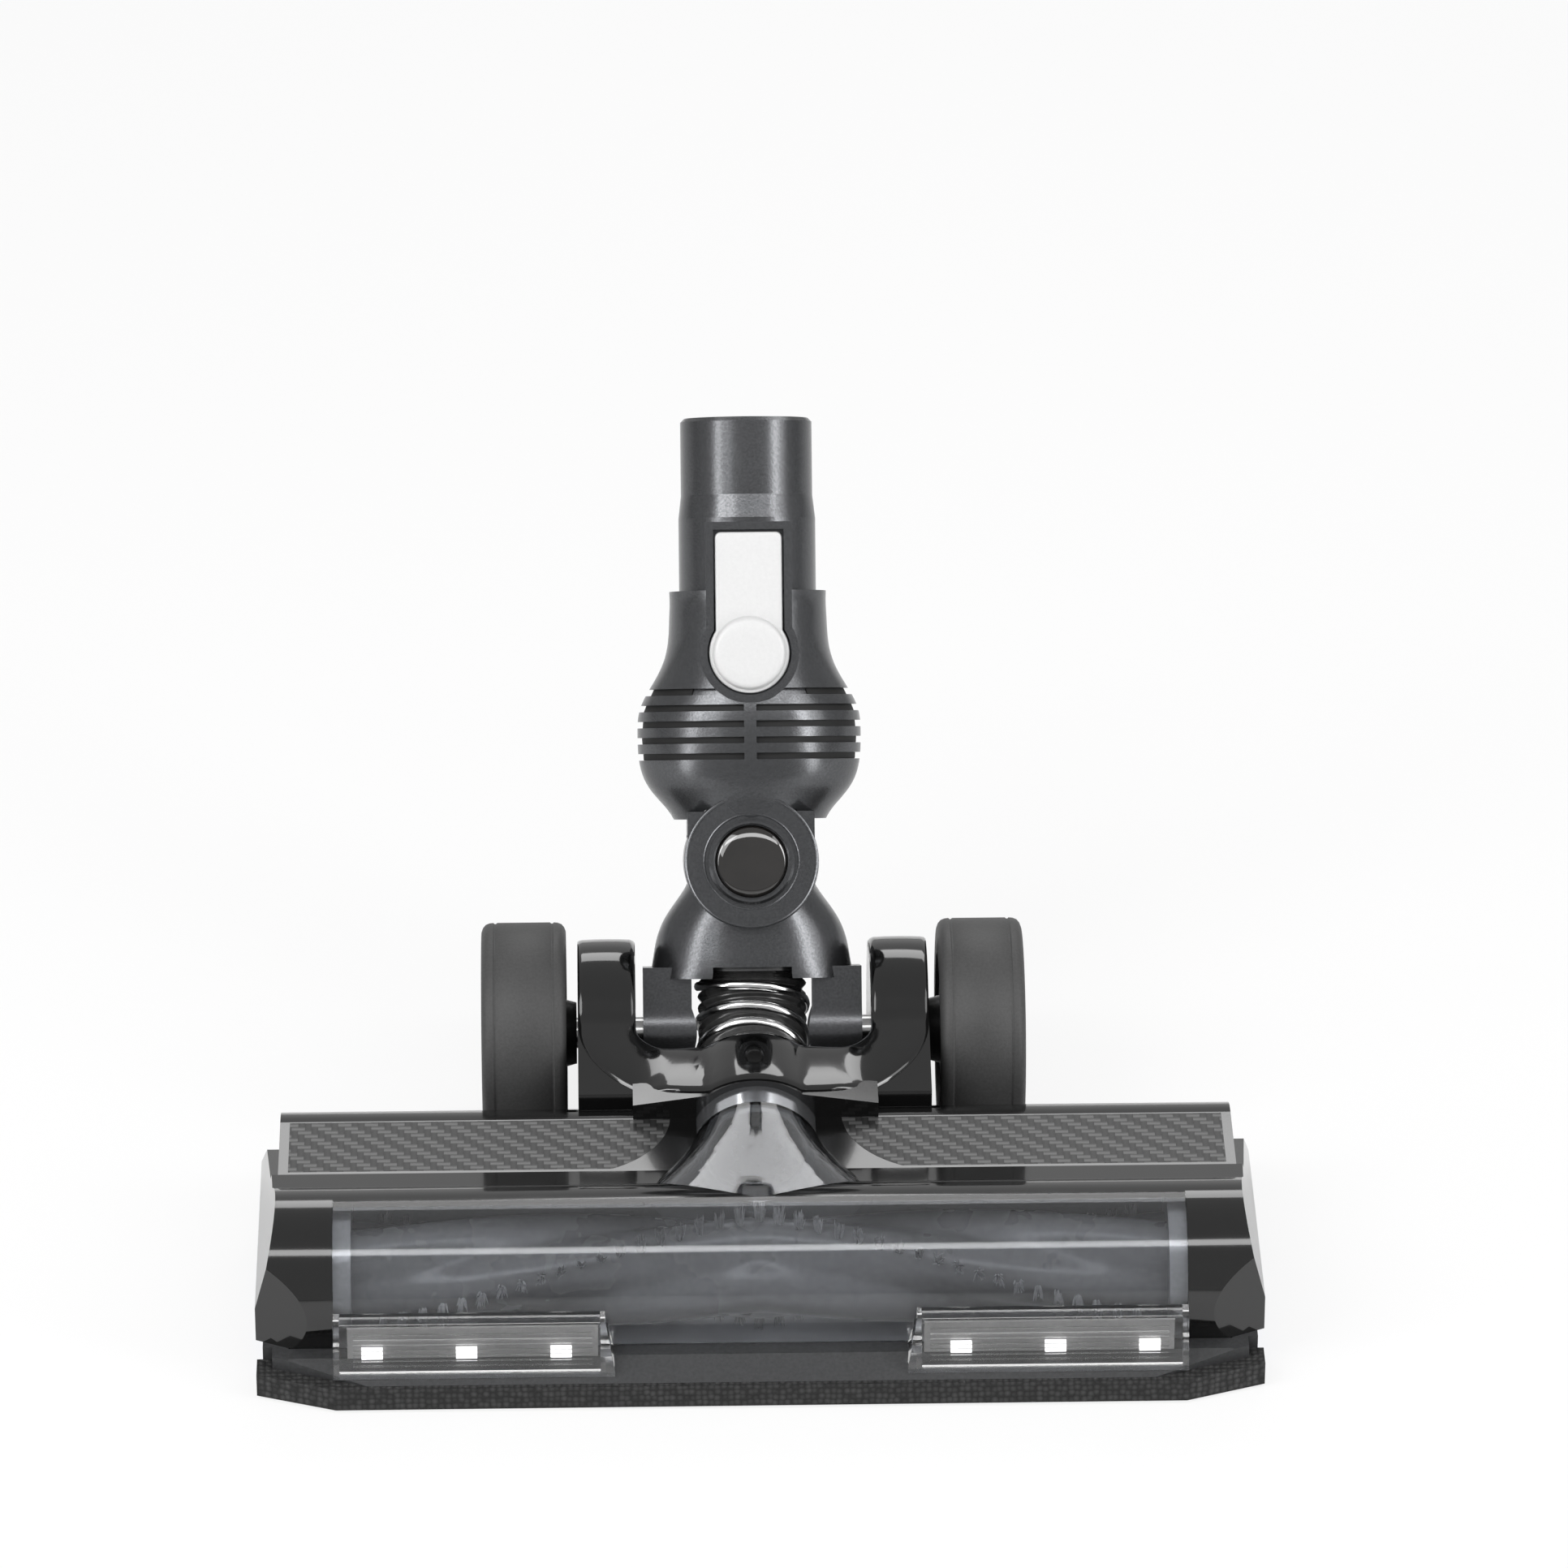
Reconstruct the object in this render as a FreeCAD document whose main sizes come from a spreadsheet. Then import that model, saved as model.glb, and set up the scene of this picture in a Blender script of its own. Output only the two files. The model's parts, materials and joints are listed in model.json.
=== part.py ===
import FreeCAD, Part
import Sketcher
import math
import os

# Powered floor brush head of a stick vacuum, in millimetres.
# The front lip faces -Y, the floor is z = 0 and +X runs along the head.
# Head shapes are drawn with y measured back from the front lip. The neck is
# drawn upright over the wheel axle and leans back by lean_angle.

SIZES = {
    # Head outline
    "head_half": 127.0,
    "corner_start_inset": 20.0,
    "corner_slope": 0.35,
    "sole_inset": 1.5,
    "side_end": 83.0,
    "rear_inset": 5.0,
    "sole_height": 3.0,
    "wall": 2.2,
    "parting_front": 10.5,
    "parting_rear": 19.0,
    "end_plate": 2.2,
    # Front bumper strip and sill
    "bumper_depth": 4.0,
    "bumper_low": 0.8,
    "bumper_top": 7.0,
    "bumper_inset": 0.8,
    "bumper_side_end": 14.1,
    "sill_front": 1.5,
    "sill_back": 9.0,
    # Suction mouth and felt strip
    "notch_inset": 72.0,
    "notch_half": 7.35,
    "mouth_inset": 8.0,
    "mouth_front": 18.3,
    "mouth_rear": 51.4,
    "rear_bar_end": 59.5,
    "felt_front": 57.3,
    "felt_rear": 65.0,
    "felt_side": 5.4,
    "felt_side_front": 16.7,
    "felt_groove": 2.2,
    # Clear cover and rear housing
    "cover_y": 33.5,
    "cover_z": 19.5,
    "cover_radius": 22.0,
    "cover_wall": 1.8,
    "cover_inset": 19.5,
    "band_angle": 52.0,
    "deck_front": 56.0,
    "deck_height": 35.0,
    "tail_y": 80.4,
    "tail_radius": 16.0,
    # Inlaid panels on the deck
    "panel_thick": 0.8,
    "panel_front": 57.0,
    "panel_rear": 80.0,
    "panel_inner": 22.0,
    "panel_inner_front": 37.0,
    "panel_nose": 27.0,
    "panel_outer_inset": 7.5,
    # End caps
    "cap_outer_inset": -0.3,
    "cap_slant_low": 20.0,
    "cap_slant_in": 5.3,
    # Lamps
    "lens_inner_inset": 90.2,
    "lens_wall": 1.5,
    "lens_rake_from": 9.0,
    "lens_rake": 6.0,
    "lens_rake_wall": 3.6,
    "board_inner_inset": 86.0,
    "board_outer_inset": 23.0,
    "board_y": 8.9,
    "board_thick": 0.8,
    "board_low": 10.6,
    "board_top": 19.5,
    "lamp_first_inset": 76.7,
    "lamp_pitch": 23.75,
    "lamp_wide": 5.3,
    "lamp_high": 2.7,
    "lamp_deep": 1.5,
    "lamp_z": 12.6,
    # Brush roll
    "roll_z": 19.9,
    "tip_radius": 19.2,
    "core_radius": 14.0,
    "core_wall": 2.0,
    "core_inset": 24.0,
    "disc_radius": 17.5,
    "disc_end_inset": 18.0,
    "roll_shaft_radius": 3.0,
    "roll_shaft_inset": 3.6,
    "running_fit": 0.06,
    "press_gap": 0.05,
    "tuft_width": 2.0,
    "tuft_pitch": 5.0,
    "tuft_twist": 1.15,
    "liner_radius": 20.5,
    "liner_wall": 1.5,
    "liner_top_angle": 40.0,
    "bearing_from_inset": 8.0,
    "bearing_to_inset": 3.5,
    "bearing_radius": 8.0,
    "bearing_foot": 5.5,
    "cover_plate_from_inset": 17.4,
    # Drive
    "motor_y": 76.0,
    "motor_z": 19.5,
    "motor_radius": 12.0,
    "motor_from_inset": 77.0,
    "motor_to_inset": 25.0,
    "motor_shaft_radius": 1.6,
    "motor_shaft_to_inset": 9.5,
    "pulley_from_inset": 16.0,
    "pulley_width": 6.0,
    "roll_pulley_radius": 9.0,
    "motor_pulley_radius": 4.5,
    "belt_gap": 0.3,
    "belt_thick": 1.2,
    "belt_width": 5.0,
    # Air duct and hose
    "duct_z": 27.5,
    "duct_bore": 13.0,
    "ring_front": 73.0,
    "ring_rear": 88.0,
    "ring_radius": 17.0,
    "ring_flange": 2.0,
    "hose_radius": 15.2,
    "hose_wall": 1.2,
    "hose_fit": 0.1,
    "hose_bend": 31.0,
    "hose_end": 27.0,
    "bore_clear": 0.05,
    # Bridge over the hose, between the yoke arms
    "bridge_front": 80.3,
    "bridge_rear": 103.0,
    "bridge_wall": 1.7,
    "bridge_shoulder": 12.0,
    "bridge_side_height": 39.0,
    # Yoke arms that carry the wheels and the neck
    "arm_inner": 30.5,
    "arm_outer": 45.5,
    "arm_root": 88.0,
    "arm_root_inner": 17.0,
    "arm_flare_end": 112.0,
    "arm_low": 5.5,
    "ear_radius": 23.5,
    "ear_shoulder": 18.0,
    "axle_y": 131.0,
    "axle_z": 29.0,
    "axle_radius": 4.0,
    "axle_inner": 17.6,
    "axle_outer": 66.0,
    "wheel_radius": 29.0,
    "wheel_inner": 48.5,
    "wheel_outer": 70.5,
    "rim_radius": 20.0,
    # Front rollers
    "roller_x_inset": 25.2,
    "roller_y": 10.6,
    "roller_radius": 4.5,
    "roller_length": 17.0,
    "roller_side_gap": 0.3,
    "roller_clear": 0.6,
    "roller_pin_radius": 1.5,
    "roller_pin_length": 24.4,
    # Latch on the underside
    "latch_front": 65.8,
    "latch_rear": 81.7,
    "latch_from_inset": 36.0,
    "latch_to_inset": 9.0,
    "latch_recess": 0.8,
    "knob_from_inset": 24.0,
    "knob_to_inset": 16.0,
    "knob_front": 70.1,
    "knob_rear": 77.5,
    "knob_low": 2.4,
    "latch_travel": 8.0,
    "latch_side_gap": 0.1,
    # Screws
    "screw_radius": 2.5,
    "screw_head": 1.5,
    "screw_clear": 0.1,
    # Neck, with z measured up from the wheel axle
    "lean_angle": 31.0,
    "boss_radius": 12.2,
    "boss_inner": 19.0,
    "boss_outer": 28.5,
    "strap_half": 10.5,
    "strap_top": 17.0,
    "collar_radius": 16.3,
    "collar_low": 16.0,
    "collar_top": 30.0,
    "pivot_z": 44.5,
    "drum_radius": 17.5,
    "drum_half": 17.2,
    "drum_wall": 2.2,
    "drum_clear": 0.35,
    "cheek_radius": 17.5,
    "cheek_gap": 0.2,
    "cheek_out": 20.0,
    "pivot_pin_radius": 7.9,
    "pivot_cap_radius": 11.2,
    "pivot_cap_thick": 2.2,
    "air_bore": 13.0,
    "neck_wall_side": 2.6,
    "neck_wall_front": 5.2,
    "neck_top": 115.0,
    "tube_radius": 17.9,
    "tube_tip_radius": 17.2,
    "tube_bore": 15.0,
    "tube_seat": 100.0,
    "tube_taper_from": 134.0,
    "tube_taper_to": 140.0,
    "tube_end": 160.2,
    # Release button and its bezel on the front of the neck
    "pad_z": 98.6,
    "pad_radius": 10.5,
    "paddle_half": 8.75,
    "paddle_top": 130.0,
    "paddle_back": 20.4,
    "paddle_front": 22.6,
    "pad_front": 25.2,
    "bezel_back": 19.0,
    "bezel_front": 23.4,
    "bezel_rim": 2.0,
    "bezel_top": 130.6,
    "bezel_floor": 18.7,
    "button_gap": 0.4,
    "button_pivot_z": 112.0,
    "button_pivot_y": 20.9,
    "button_pin_radius": 1.0,
    # Cable cover and contact block on the back of the neck
    "cable_cover_half": 10.5,
    "cable_cover_low": 90.5,
    "cable_cover_top": 116.0,
    "cable_cover_back": 23.6,
    "cable_cover_seat": 19.0,
    "contact_half": 9.6,
    "contact_low": 117.0,
    "contact_top": 133.0,
    "contact_back": 19.8,
    # Grille slots round the bulge of the neck
    "slot_first": 71.0,
    "slot_pitch": 4.2,
    "slot_height": 1.7,
    "slot_depth": 1.5,
    "slot_from": 1.6,
}

# Half width and half depth of the neck shell at heights above the axle
FORK_SECTIONS = {
    "fork_1": (14.0, 27.0, 17.2),
    "fork_2": (22.0, 25.3, 17.2),
    "fork_3": (29.0, 23.0, 17.0),
    "fork_4": (35.0, 19.0, 17.0),
    "fork_5": (40.0, 16.2, 16.0),
}
SHELL_SECTIONS = {
    "shell_1": (55.5, 19.9, 19.9),
    "shell_2": (60.0, 23.2, 21.0),
    "shell_3": (65.0, 27.0, 22.5),
    "shell_4": (70.0, 28.7, 23.6),
    "shell_5": (77.0, 29.2, 24.0),
    "shell_6": (84.0, 28.6, 23.6),
    "shell_7": (90.0, 25.7, 22.6),
    "shell_8": (95.0, 22.9, 21.6),
    "shell_9": (101.0, 21.1, 21.0),
    "shell_10": (108.0, 20.6, 20.6),
    "shell_11": (115.0, 20.5, 20.5),
}

# Funnel of the clear cover: distance back, half width and half height
FUNNEL_SECTIONS = {
    "funnel_1": (33.5, 44.0, 14.0),
    "funnel_2": (48.0, 32.5, 14.8),
    "funnel_3": (61.0, 22.5, 16.0),
    "funnel_4": (73.0, 17.0, 17.0),
}

# Countersunk screws of the underside: x, y and the height of the seat, with
# x of the corner screws measured in from the head's end
SCREWS = {
    "screw_front": (8.2, 12.3, 4.9),
    "screw_rear": (9.8, 88.9, 6.4),
    "screw_plate": (40.6, 70.7, 4.9),
    "screw_root": (34.4, 97.4, 7.4),
    "screw_ear": (36.0, 146.3, 15.0),
}

CORNER_SCREWS = ("screw_front", "screw_rear")

for table in (FORK_SECTIONS, SHELL_SECTIONS, FUNNEL_SECTIONS):
    for name, (height, half_width, half_depth) in table.items():
        SIZES[name + "_station"] = height
        SIZES[name + "_wide"] = half_width
        SIZES[name + "_deep"] = half_depth
for name, (across, back, seat) in SCREWS.items():
    SIZES[name + "_across"] = across
    SIZES[name + "_back"] = back
    SIZES[name + "_seat"] = seat

doc = FreeCAD.newDocument("floor_brush_head")
sheet = doc.addObject("Spreadsheet::Sheet", "Sizes")
for row, (name, number) in enumerate(SIZES.items(), start=1):
    sheet.set("A%d" % row, name)
    sheet.set("B%d" % row, str(number))
    sheet.setAlias("B%d" % row, name)
doc.recompute()


class Size:
    """A length kept both as a number and as the expression over the sheet."""

    def __init__(self, number, text):
        self.number = float(number)
        self.text = text

    def join(self, other, sign, number):
        return Size(number, "(%s %s %s)" % (self.text, sign, other.text))

    def __add__(self, other):
        other = as_size(other)
        return self.join(other, "+", self.number + other.number)

    def __radd__(self, other):
        return as_size(other) + self

    def __sub__(self, other):
        other = as_size(other)
        return self.join(other, "-", self.number - other.number)

    def __rsub__(self, other):
        return as_size(other) - self

    def __mul__(self, other):
        other = as_size(other)
        return self.join(other, "*", self.number * other.number)

    def __rmul__(self, other):
        return as_size(other) * self

    def __truediv__(self, other):
        other = as_size(other)
        return self.join(other, "/", self.number / other.number)

    def __neg__(self):
        return self * -1

    def __float__(self):
        return self.number


def as_size(entry):
    if isinstance(entry, Size):
        return entry
    return Size(entry, "(%s)" % repr(float(entry)))


def root(size):
    return Size(math.sqrt(size.number), "sqrt(%s)" % size.text)


def sine(angle):
    angle = as_size(angle)
    return Size(math.sin(math.radians(angle.number)), "sin(%s)" % angle.text)


def cosine(angle):
    angle = as_size(angle)
    return Size(math.cos(math.radians(angle.number)), "cos(%s)" % angle.text)


def chord(radius, offset):
    """Half chord of a circle at a distance from its centre."""
    return root(radius * radius - offset * offset)


class Values:
    """The sheet's cells as Size objects, one attribute each."""


v = Values()
for name, number in SIZES.items():
    setattr(v, name, Size(number, "Sizes." + name))

# Places of the moving groups
neck_sine = sine(v.lean_angle)
neck_cosine = cosine(v.lean_angle)
tip_back = v.axle_y + v.tube_end * neck_sine + (v.tube_tip_radius - 1.0) * neck_cosine
front_to_origin = tip_back / 2
ZERO = as_size(0.0)
HEAD = (-front_to_origin, ZERO, ZERO)
AXLE = (v.axle_y - front_to_origin, v.axle_z, ZERO)
NECK = (v.axle_y - front_to_origin, v.axle_z, v.lean_angle)
ROLL = (v.cover_y - front_to_origin, v.roll_z, ZERO)
MOTOR = (v.motor_y - front_to_origin, v.motor_z, ZERO)
DUCT = (-front_to_origin, v.duct_z, ZERO)
ROLLER = (v.roller_y - front_to_origin, v.roller_radius, ZERO)
nodes = []


def place(item, frame):
    """Move a finished sub-part into its frame, bound to the sheet."""
    across, height, lean = frame
    turn = FreeCAD.Rotation(FreeCAD.Vector(-1, 0, 0), max(float(lean), 0.0))
    spot = FreeCAD.Vector(0, float(across), float(height))
    item.Placement = FreeCAD.Placement(spot, turn)
    item.setExpression(".Placement.Base.y", across.text)
    item.setExpression(".Placement.Base.z", height.text)
    if lean is not ZERO:
        item.setExpression(".Placement.Rotation.Angle", lean.text)


def finish(item, label, frame):
    item.Label = label
    place(item, frame)
    nodes.append(item)
    return item


def new_body(label, frame):
    body = doc.addObject("PartDesign::Body", label)
    return finish(body, label, frame)


def blank_body(label):
    """Body that a later boolean cuts, so it stays out of the node list."""
    return doc.addObject("PartDesign::Body", label)


def fix(sketch, kind, where, size):
    """Hold one point of a sketch at a distance given by the sheet."""
    index = sketch.addConstraint(Sketcher.Constraint(kind, -1, 1, *where, float(size)))
    sketch.setExpression("Constraints[%d]" % index, as_size(size).text)


def new_sketch(body, plane, offset):
    sketch = body.newObject("Sketcher::SketchObject", "Sketch")
    for datum in body.Origin.OriginFeatures:
        if datum.Role == plane:
            sketch.AttachmentSupport = [(datum, "")]
    sketch.MapMode = "FlatFace"
    shift = FreeCAD.Vector(0, 0, float(offset))
    sketch.AttachmentOffset = FreeCAD.Placement(shift, FreeCAD.Rotation())
    sketch.setExpression("AttachmentOffset.Base.z", offset.text)
    return sketch


def arc_between(start, end, radius):
    """Minor arc from start to end; a negative radius runs clockwise."""
    run = end - start
    middle = (start + end) * 0.5
    rise = math.sqrt(max(radius * radius - run.Length * run.Length / 4, 0.0))
    side = FreeCAD.Vector(-run.y, run.x, 0) * (1 / run.Length)
    turn = 1 if radius > 0 else -1
    centre = middle + side * (rise * turn)
    first, last = (start, end) if radius > 0 else (end, start)
    angle_1 = math.atan2(first.y - centre.y, first.x - centre.x)
    angle_2 = math.atan2(last.y - centre.y, last.x - centre.x)
    if angle_2 < angle_1:
        angle_2 += 2 * math.pi
    circle = Part.Circle(centre, FreeCAD.Vector(0, 0, 1), abs(radius))
    return Part.ArcOfCircle(circle, angle_1, angle_2)


def draw_loop(sketch, points, closed=True):
    """Draw lines, and arcs where a point has a radius, through sheet points."""
    count = len(points)
    spots = []
    for point in points:
        spots.append(FreeCAD.Vector(float(point[0]), float(point[1]), 0))
    ends = []
    steps = count if closed else count - 1
    for step in range(steps):
        after = (step + 1) % count
        target = points[after]
        if len(target) == 3:
            radius = as_size(target[2])
            edge = arc_between(spots[step], spots[after], float(radius))
            index = sketch.addGeometry(edge, False)
            size = radius if float(radius) > 0 else -radius
            hold = Sketcher.Constraint("Radius", index, float(size))
            row = sketch.addConstraint(hold)
            sketch.setExpression("Constraints[%d]" % row, size.text)
            ends.append((index, 1, 2) if float(radius) > 0 else (index, 2, 1))
        else:
            edge = Part.LineSegment(spots[step], spots[after])
            ends.append((sketch.addGeometry(edge, False), 1, 2))
    for step in range(steps):
        index, start, end = ends[step]
        fix(sketch, "DistanceX", (index, start), points[step][0])
        fix(sketch, "DistanceY", (index, start), points[step][1])
        if step + 1 < steps or closed:
            after = ends[(step + 1) % steps]
            link = Sketcher.Constraint("Coincident", index, end, after[0], after[1])
            sketch.addConstraint(link)
        else:
            fix(sketch, "DistanceX", (index, end), points[step + 1][0])
            fix(sketch, "DistanceY", (index, end), points[step + 1][1])


def draw_circle(sketch, across, up, radius):
    spot = FreeCAD.Vector(float(across), float(up), 0)
    circle = Part.Circle(spot, FreeCAD.Vector(0, 0, 1), float(radius))
    index = sketch.addGeometry(circle, False)
    row = sketch.addConstraint(Sketcher.Constraint("Radius", index, float(radius)))
    sketch.setExpression("Constraints[%d]" % row, as_size(radius).text)
    fix(sketch, "DistanceX", (index, 3), across)
    fix(sketch, "DistanceY", (index, 3), up)


def draw(sketch, loops):
    for loop in loops:
        if isinstance(loop, list):
            draw_loop(sketch, loop)
        else:
            draw_circle(sketch, *loop)


def sweep_straight(body, kind, axis, loops, start, end):
    """Pad or pocket outlines between two stations of one axis."""
    start = as_size(start)
    end = as_size(end)
    planes = {"x": "YZ_Plane", "y": "XZ_Plane", "z": "XY_Plane"}
    sketch = new_sketch(body, planes[axis], -end if axis == "y" else start)
    draw(sketch, loops)
    feature = body.newObject("PartDesign::" + kind, kind)
    feature.Profile = sketch
    feature.Length = float(end - start)
    feature.setExpression("Length", (end - start).text)
    feature.Reversed = kind == "Pocket"
    body.Tip = feature
    return feature


def pad(body, axis, loops, start, end):
    return sweep_straight(body, "Pad", axis, loops, start, end)


def cut(body, axis, loops, start, end):
    return sweep_straight(body, "Pocket", axis, loops, start, end)


def revolve(body, plane, points, axis):
    """Turn an outline about the sketch's H_Axis or V_Axis."""
    sketch = new_sketch(body, plane, ZERO)
    draw_loop(sketch, points)
    feature = body.newObject("PartDesign::Revolution", "Revolution")
    feature.Profile = sketch
    feature.ReferenceAxis = (sketch, [axis])
    feature.Angle = 360
    body.Tip = feature
    return feature


def rectangle(left, low, right, high):
    return [(left, low), (right, low), (right, high), (left, high)]


def span(side, inner, outer):
    """Stations on the left (-1) or right (+1) side, in rising order."""
    inner = as_size(inner)
    outer = as_size(outer)
    return (inner, outer) if side > 0 else (-outer, -inner)


def mirrored(side, points):
    """Outline for the left or right side; arcs turn the other way."""
    flipped = []
    for point in points:
        flipped.append((as_size(point[0]) * side,) + tuple(point[1:2]))
        if len(point) == 3:
            flipped[-1] += (as_size(point[2]) * side,)
    return flipped


SIDES = (("left", -1), ("right", 1))

# Places that keep their distance from the head's end
sole_half = v.head_half - v.sole_inset
rear_half = v.head_half - v.rear_inset
mouth_half = v.head_half - v.mouth_inset
corner_start = v.head_half - v.corner_start_inset
panel_outer = v.head_half - v.panel_outer_inset
cover_half = v.head_half - v.cover_inset
cap_outer = v.head_half - v.cap_outer_inset
lens_inner = v.head_half - v.lens_inner_inset
board_inner = v.head_half - v.board_inner_inset
board_outer = v.head_half - v.board_outer_inset
lamp_first = v.head_half - v.lamp_first_inset
core_half = v.head_half - v.core_inset
disc_end = v.head_half - v.disc_end_inset
roll_shaft_half = v.head_half - v.roll_shaft_inset
bearing_from = v.head_half - v.bearing_from_inset
bearing_to = v.head_half - v.bearing_to_inset
cover_plate_from = v.head_half - v.cover_plate_from_inset
motor_from = v.head_half - v.motor_from_inset
motor_to = v.head_half - v.motor_to_inset
motor_shaft_to = v.head_half - v.motor_shaft_to_inset
pulley_from = v.head_half - v.pulley_from_inset
roller_x = v.head_half - v.roller_x_inset
latch_from = v.head_half - v.latch_from_inset
latch_to = v.head_half - v.latch_to_inset
knob_from = v.head_half - v.knob_from_inset
knob_to = v.head_half - v.knob_to_inset

notch_x = v.head_half - v.notch_inset


def screw_across(screw):
    """Screws at the corners follow the head's end, the others stay."""
    across = getattr(v, screw + "_across")
    return v.head_half - across if screw in CORNER_SCREWS else across


# Outlines shared by more than one piece
cover_foot = v.cover_y - chord(v.cover_radius, v.cover_z - v.parting_front)
inner_radius = v.cover_radius - v.cover_wall
cover_inner_foot = v.cover_y - chord(inner_radius, v.cover_z - v.parting_front)
crest_height = v.cover_z + v.cover_radius
band_y = v.cover_y + v.cover_radius * cosine(v.band_angle)
band_z = v.cover_z + v.cover_radius * sine(v.band_angle)
band_inner_y = v.cover_y + inner_radius * cosine(v.band_angle)
band_inner_z = v.cover_z + inner_radius * sine(v.band_angle)
tail_back = v.tail_y + v.tail_radius
tail_inner = v.tail_radius - v.wall
deck_under = v.deck_height - v.wall
floor_top = v.sole_height + v.wall
groove_top = v.sole_height + v.felt_groove
groove_floor = groove_top + v.wall
ear_back = v.axle_y + v.ear_radius
ear_top = v.axle_z + v.ear_radius
shoulder_y = v.axle_y - v.ear_shoulder
shoulder_z = v.axle_z + chord(v.ear_radius, v.ear_shoulder)
ring_bore = v.ring_radius + v.bore_clear
bumper_inner = corner_start - v.bumper_inset
bumper_side = v.head_half - v.bumper_depth
bumper_side_y = v.bumper_depth + v.corner_slope * (bumper_side - bumper_inner)


def arm_plan(side):
    return mirrored(side, [
        (v.arm_root_inner, v.arm_root),
        (v.arm_outer, v.arm_root),
        (v.arm_outer, ear_back),
        (v.arm_inner, ear_back),
        (v.arm_inner, v.arm_flare_end),
    ])


def corner_line(across):
    """Rear face of the bumper strip where it runs round the corner."""
    return v.bumper_depth + v.corner_slope * (across - bumper_inner)


# Sole plate: the matte lower shell with the suction mouth and the lower arms
sole = new_body("sole_plate", HEAD)
front_bar = [
    (v.bumper_depth, v.sole_height),
    (v.mouth_front, v.sole_height),
    (v.mouth_front, floor_top),
    (cover_foot, v.parting_front),
    (v.sill_back, v.parting_front),
    (v.sill_front, v.bumper_top),
    (v.bumper_depth, v.bumper_top),
]
pad(sole, "x", [front_bar], -mouth_half, mouth_half)
rear_plate = [
    (v.mouth_rear, v.sole_height),
    (v.tail_y, v.sole_height),
    (tail_back, v.parting_rear, v.tail_radius),
    (v.deck_front, v.parting_rear),
    (v.deck_front, v.parting_front),
    (v.mouth_rear, v.parting_front),
]
pad(sole, "x", [rear_plate], -rear_half, rear_half)
inside_half = rear_half - v.end_plate
rear_hollow = [
    (v.rear_bar_end, groove_floor),
    (v.felt_rear + v.wall, groove_floor),
    (v.felt_rear + v.wall, floor_top),
    (v.tail_y, floor_top),
    (tail_back - v.wall, v.parting_rear, tail_inner),
    (tail_back - v.wall, v.parting_rear + 1),
    (v.mouth_rear - 1, v.parting_rear + 1),
    (v.mouth_rear - 1, v.parting_front),
    (v.rear_bar_end, v.parting_front),
]
cut(sole, "x", [rear_hollow], -inside_half, inside_half)
for name, side in SIDES:
    side_plate = mirrored(side, [
        (mouth_half, corner_line(mouth_half)),
        (bumper_side, bumper_side_y),
        (bumper_side, v.bumper_side_end),
        (sole_half, v.bumper_side_end),
        (sole_half, v.side_end),
        (rear_half, v.side_end + 8),
        (mouth_half, v.side_end + 8),
    ])
    pad(sole, "z", [side_plate], v.sole_height, v.parting_front)
    # The bar's corners follow the bumper strip
    reach = v.head_half + 3
    start = bumper_inner - (v.bumper_depth - 0.3) / v.corner_slope
    corner = mirrored(side, [
        (start, as_size(0.3)),
        (reach, as_size(0.3)),
        (reach, corner_line(reach)),
    ])
    cut(sole, "z", [corner], as_size(1.0), v.parting_front + 1)
    pad(sole, "z", [arm_plan(side)], v.arm_low, v.parting_rear)
    # Screw boss at the rear corner
    boss = (screw_across("screw_rear") * side, v.screw_rear_back, as_size(4.5))
    pad(sole, "z", [boss], v.sole_height + 1.5, v.parting_front)
ear_under = [
    (v.axle_y, v.axle_z - v.ear_radius, -v.ear_radius),
    (v.axle_y, v.arm_low - 1.5),
    (ear_back + 1, v.arm_low - 1.5),
    (ear_back + 1, v.axle_z),
    (ear_back, v.axle_z),
]
cut(sole, "x", [ear_under], -v.arm_outer - 1, v.arm_outer + 1)
for name, side in SIDES:
    hollow = mirrored(side, rectangle(
        v.arm_inner + v.wall, v.arm_root + 11, v.arm_outer - v.wall, v.arm_flare_end + 5))
    cut(sole, "z", [hollow], v.arm_low + v.wall + 0.5, v.parting_rear + 1)
cut(sole, "y", [(ZERO, v.duct_z, ring_bore)],
    v.ring_front - v.bore_clear, v.arm_flare_end + 4)
felt_half = sole_half - 0.1
felt_plan = [
    (-felt_half, v.felt_side_front),
    (v.felt_side - felt_half, v.felt_side_front),
    (v.felt_side - felt_half, v.felt_front),
    (felt_half - v.felt_side, v.felt_front),
    (felt_half - v.felt_side, v.felt_side_front),
    (felt_half, v.felt_side_front),
    (felt_half, v.felt_rear),
    (-felt_half, v.felt_rear),
]
cut(sole, "z", [felt_plan], v.sole_height - 1, groove_top)
roller_half = v.roller_length / 2
for name, side in SIDES:
    gap = roller_half + v.roller_side_gap
    groove = (v.roller_y, v.roller_radius, v.roller_radius + v.roller_clear)
    cut(sole, "x", [groove], *span(side, roller_x - gap, roller_x + gap))
    pin = (v.roller_y, v.roller_radius, v.roller_pin_radius + v.press_gap)
    reach = v.roller_pin_length / 2
    cut(sole, "x", [pin], *span(side, roller_x - reach, roller_x + reach))
    # Air notch of the front bar
    notch = [
        (notch_x * side - v.notch_half, v.mouth_front - 11),
        (notch_x * side + v.notch_half, v.mouth_front - 11),
        (notch_x * side + v.notch_half - 3, v.mouth_front - 2),
        (notch_x * side - v.notch_half + 3, v.mouth_front - 2),
    ]
    cut(sole, "z", [notch], v.sole_height - 1, v.sole_height + 2)
    for screw in SCREWS:
        across = screw_across(screw) * side
        back = getattr(v, screw + "_back")
        hole = (across, back, v.screw_radius + v.screw_clear)
        cut(sole, "z", [hole], v.sole_height - 1, getattr(v, screw + "_seat"))
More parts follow.
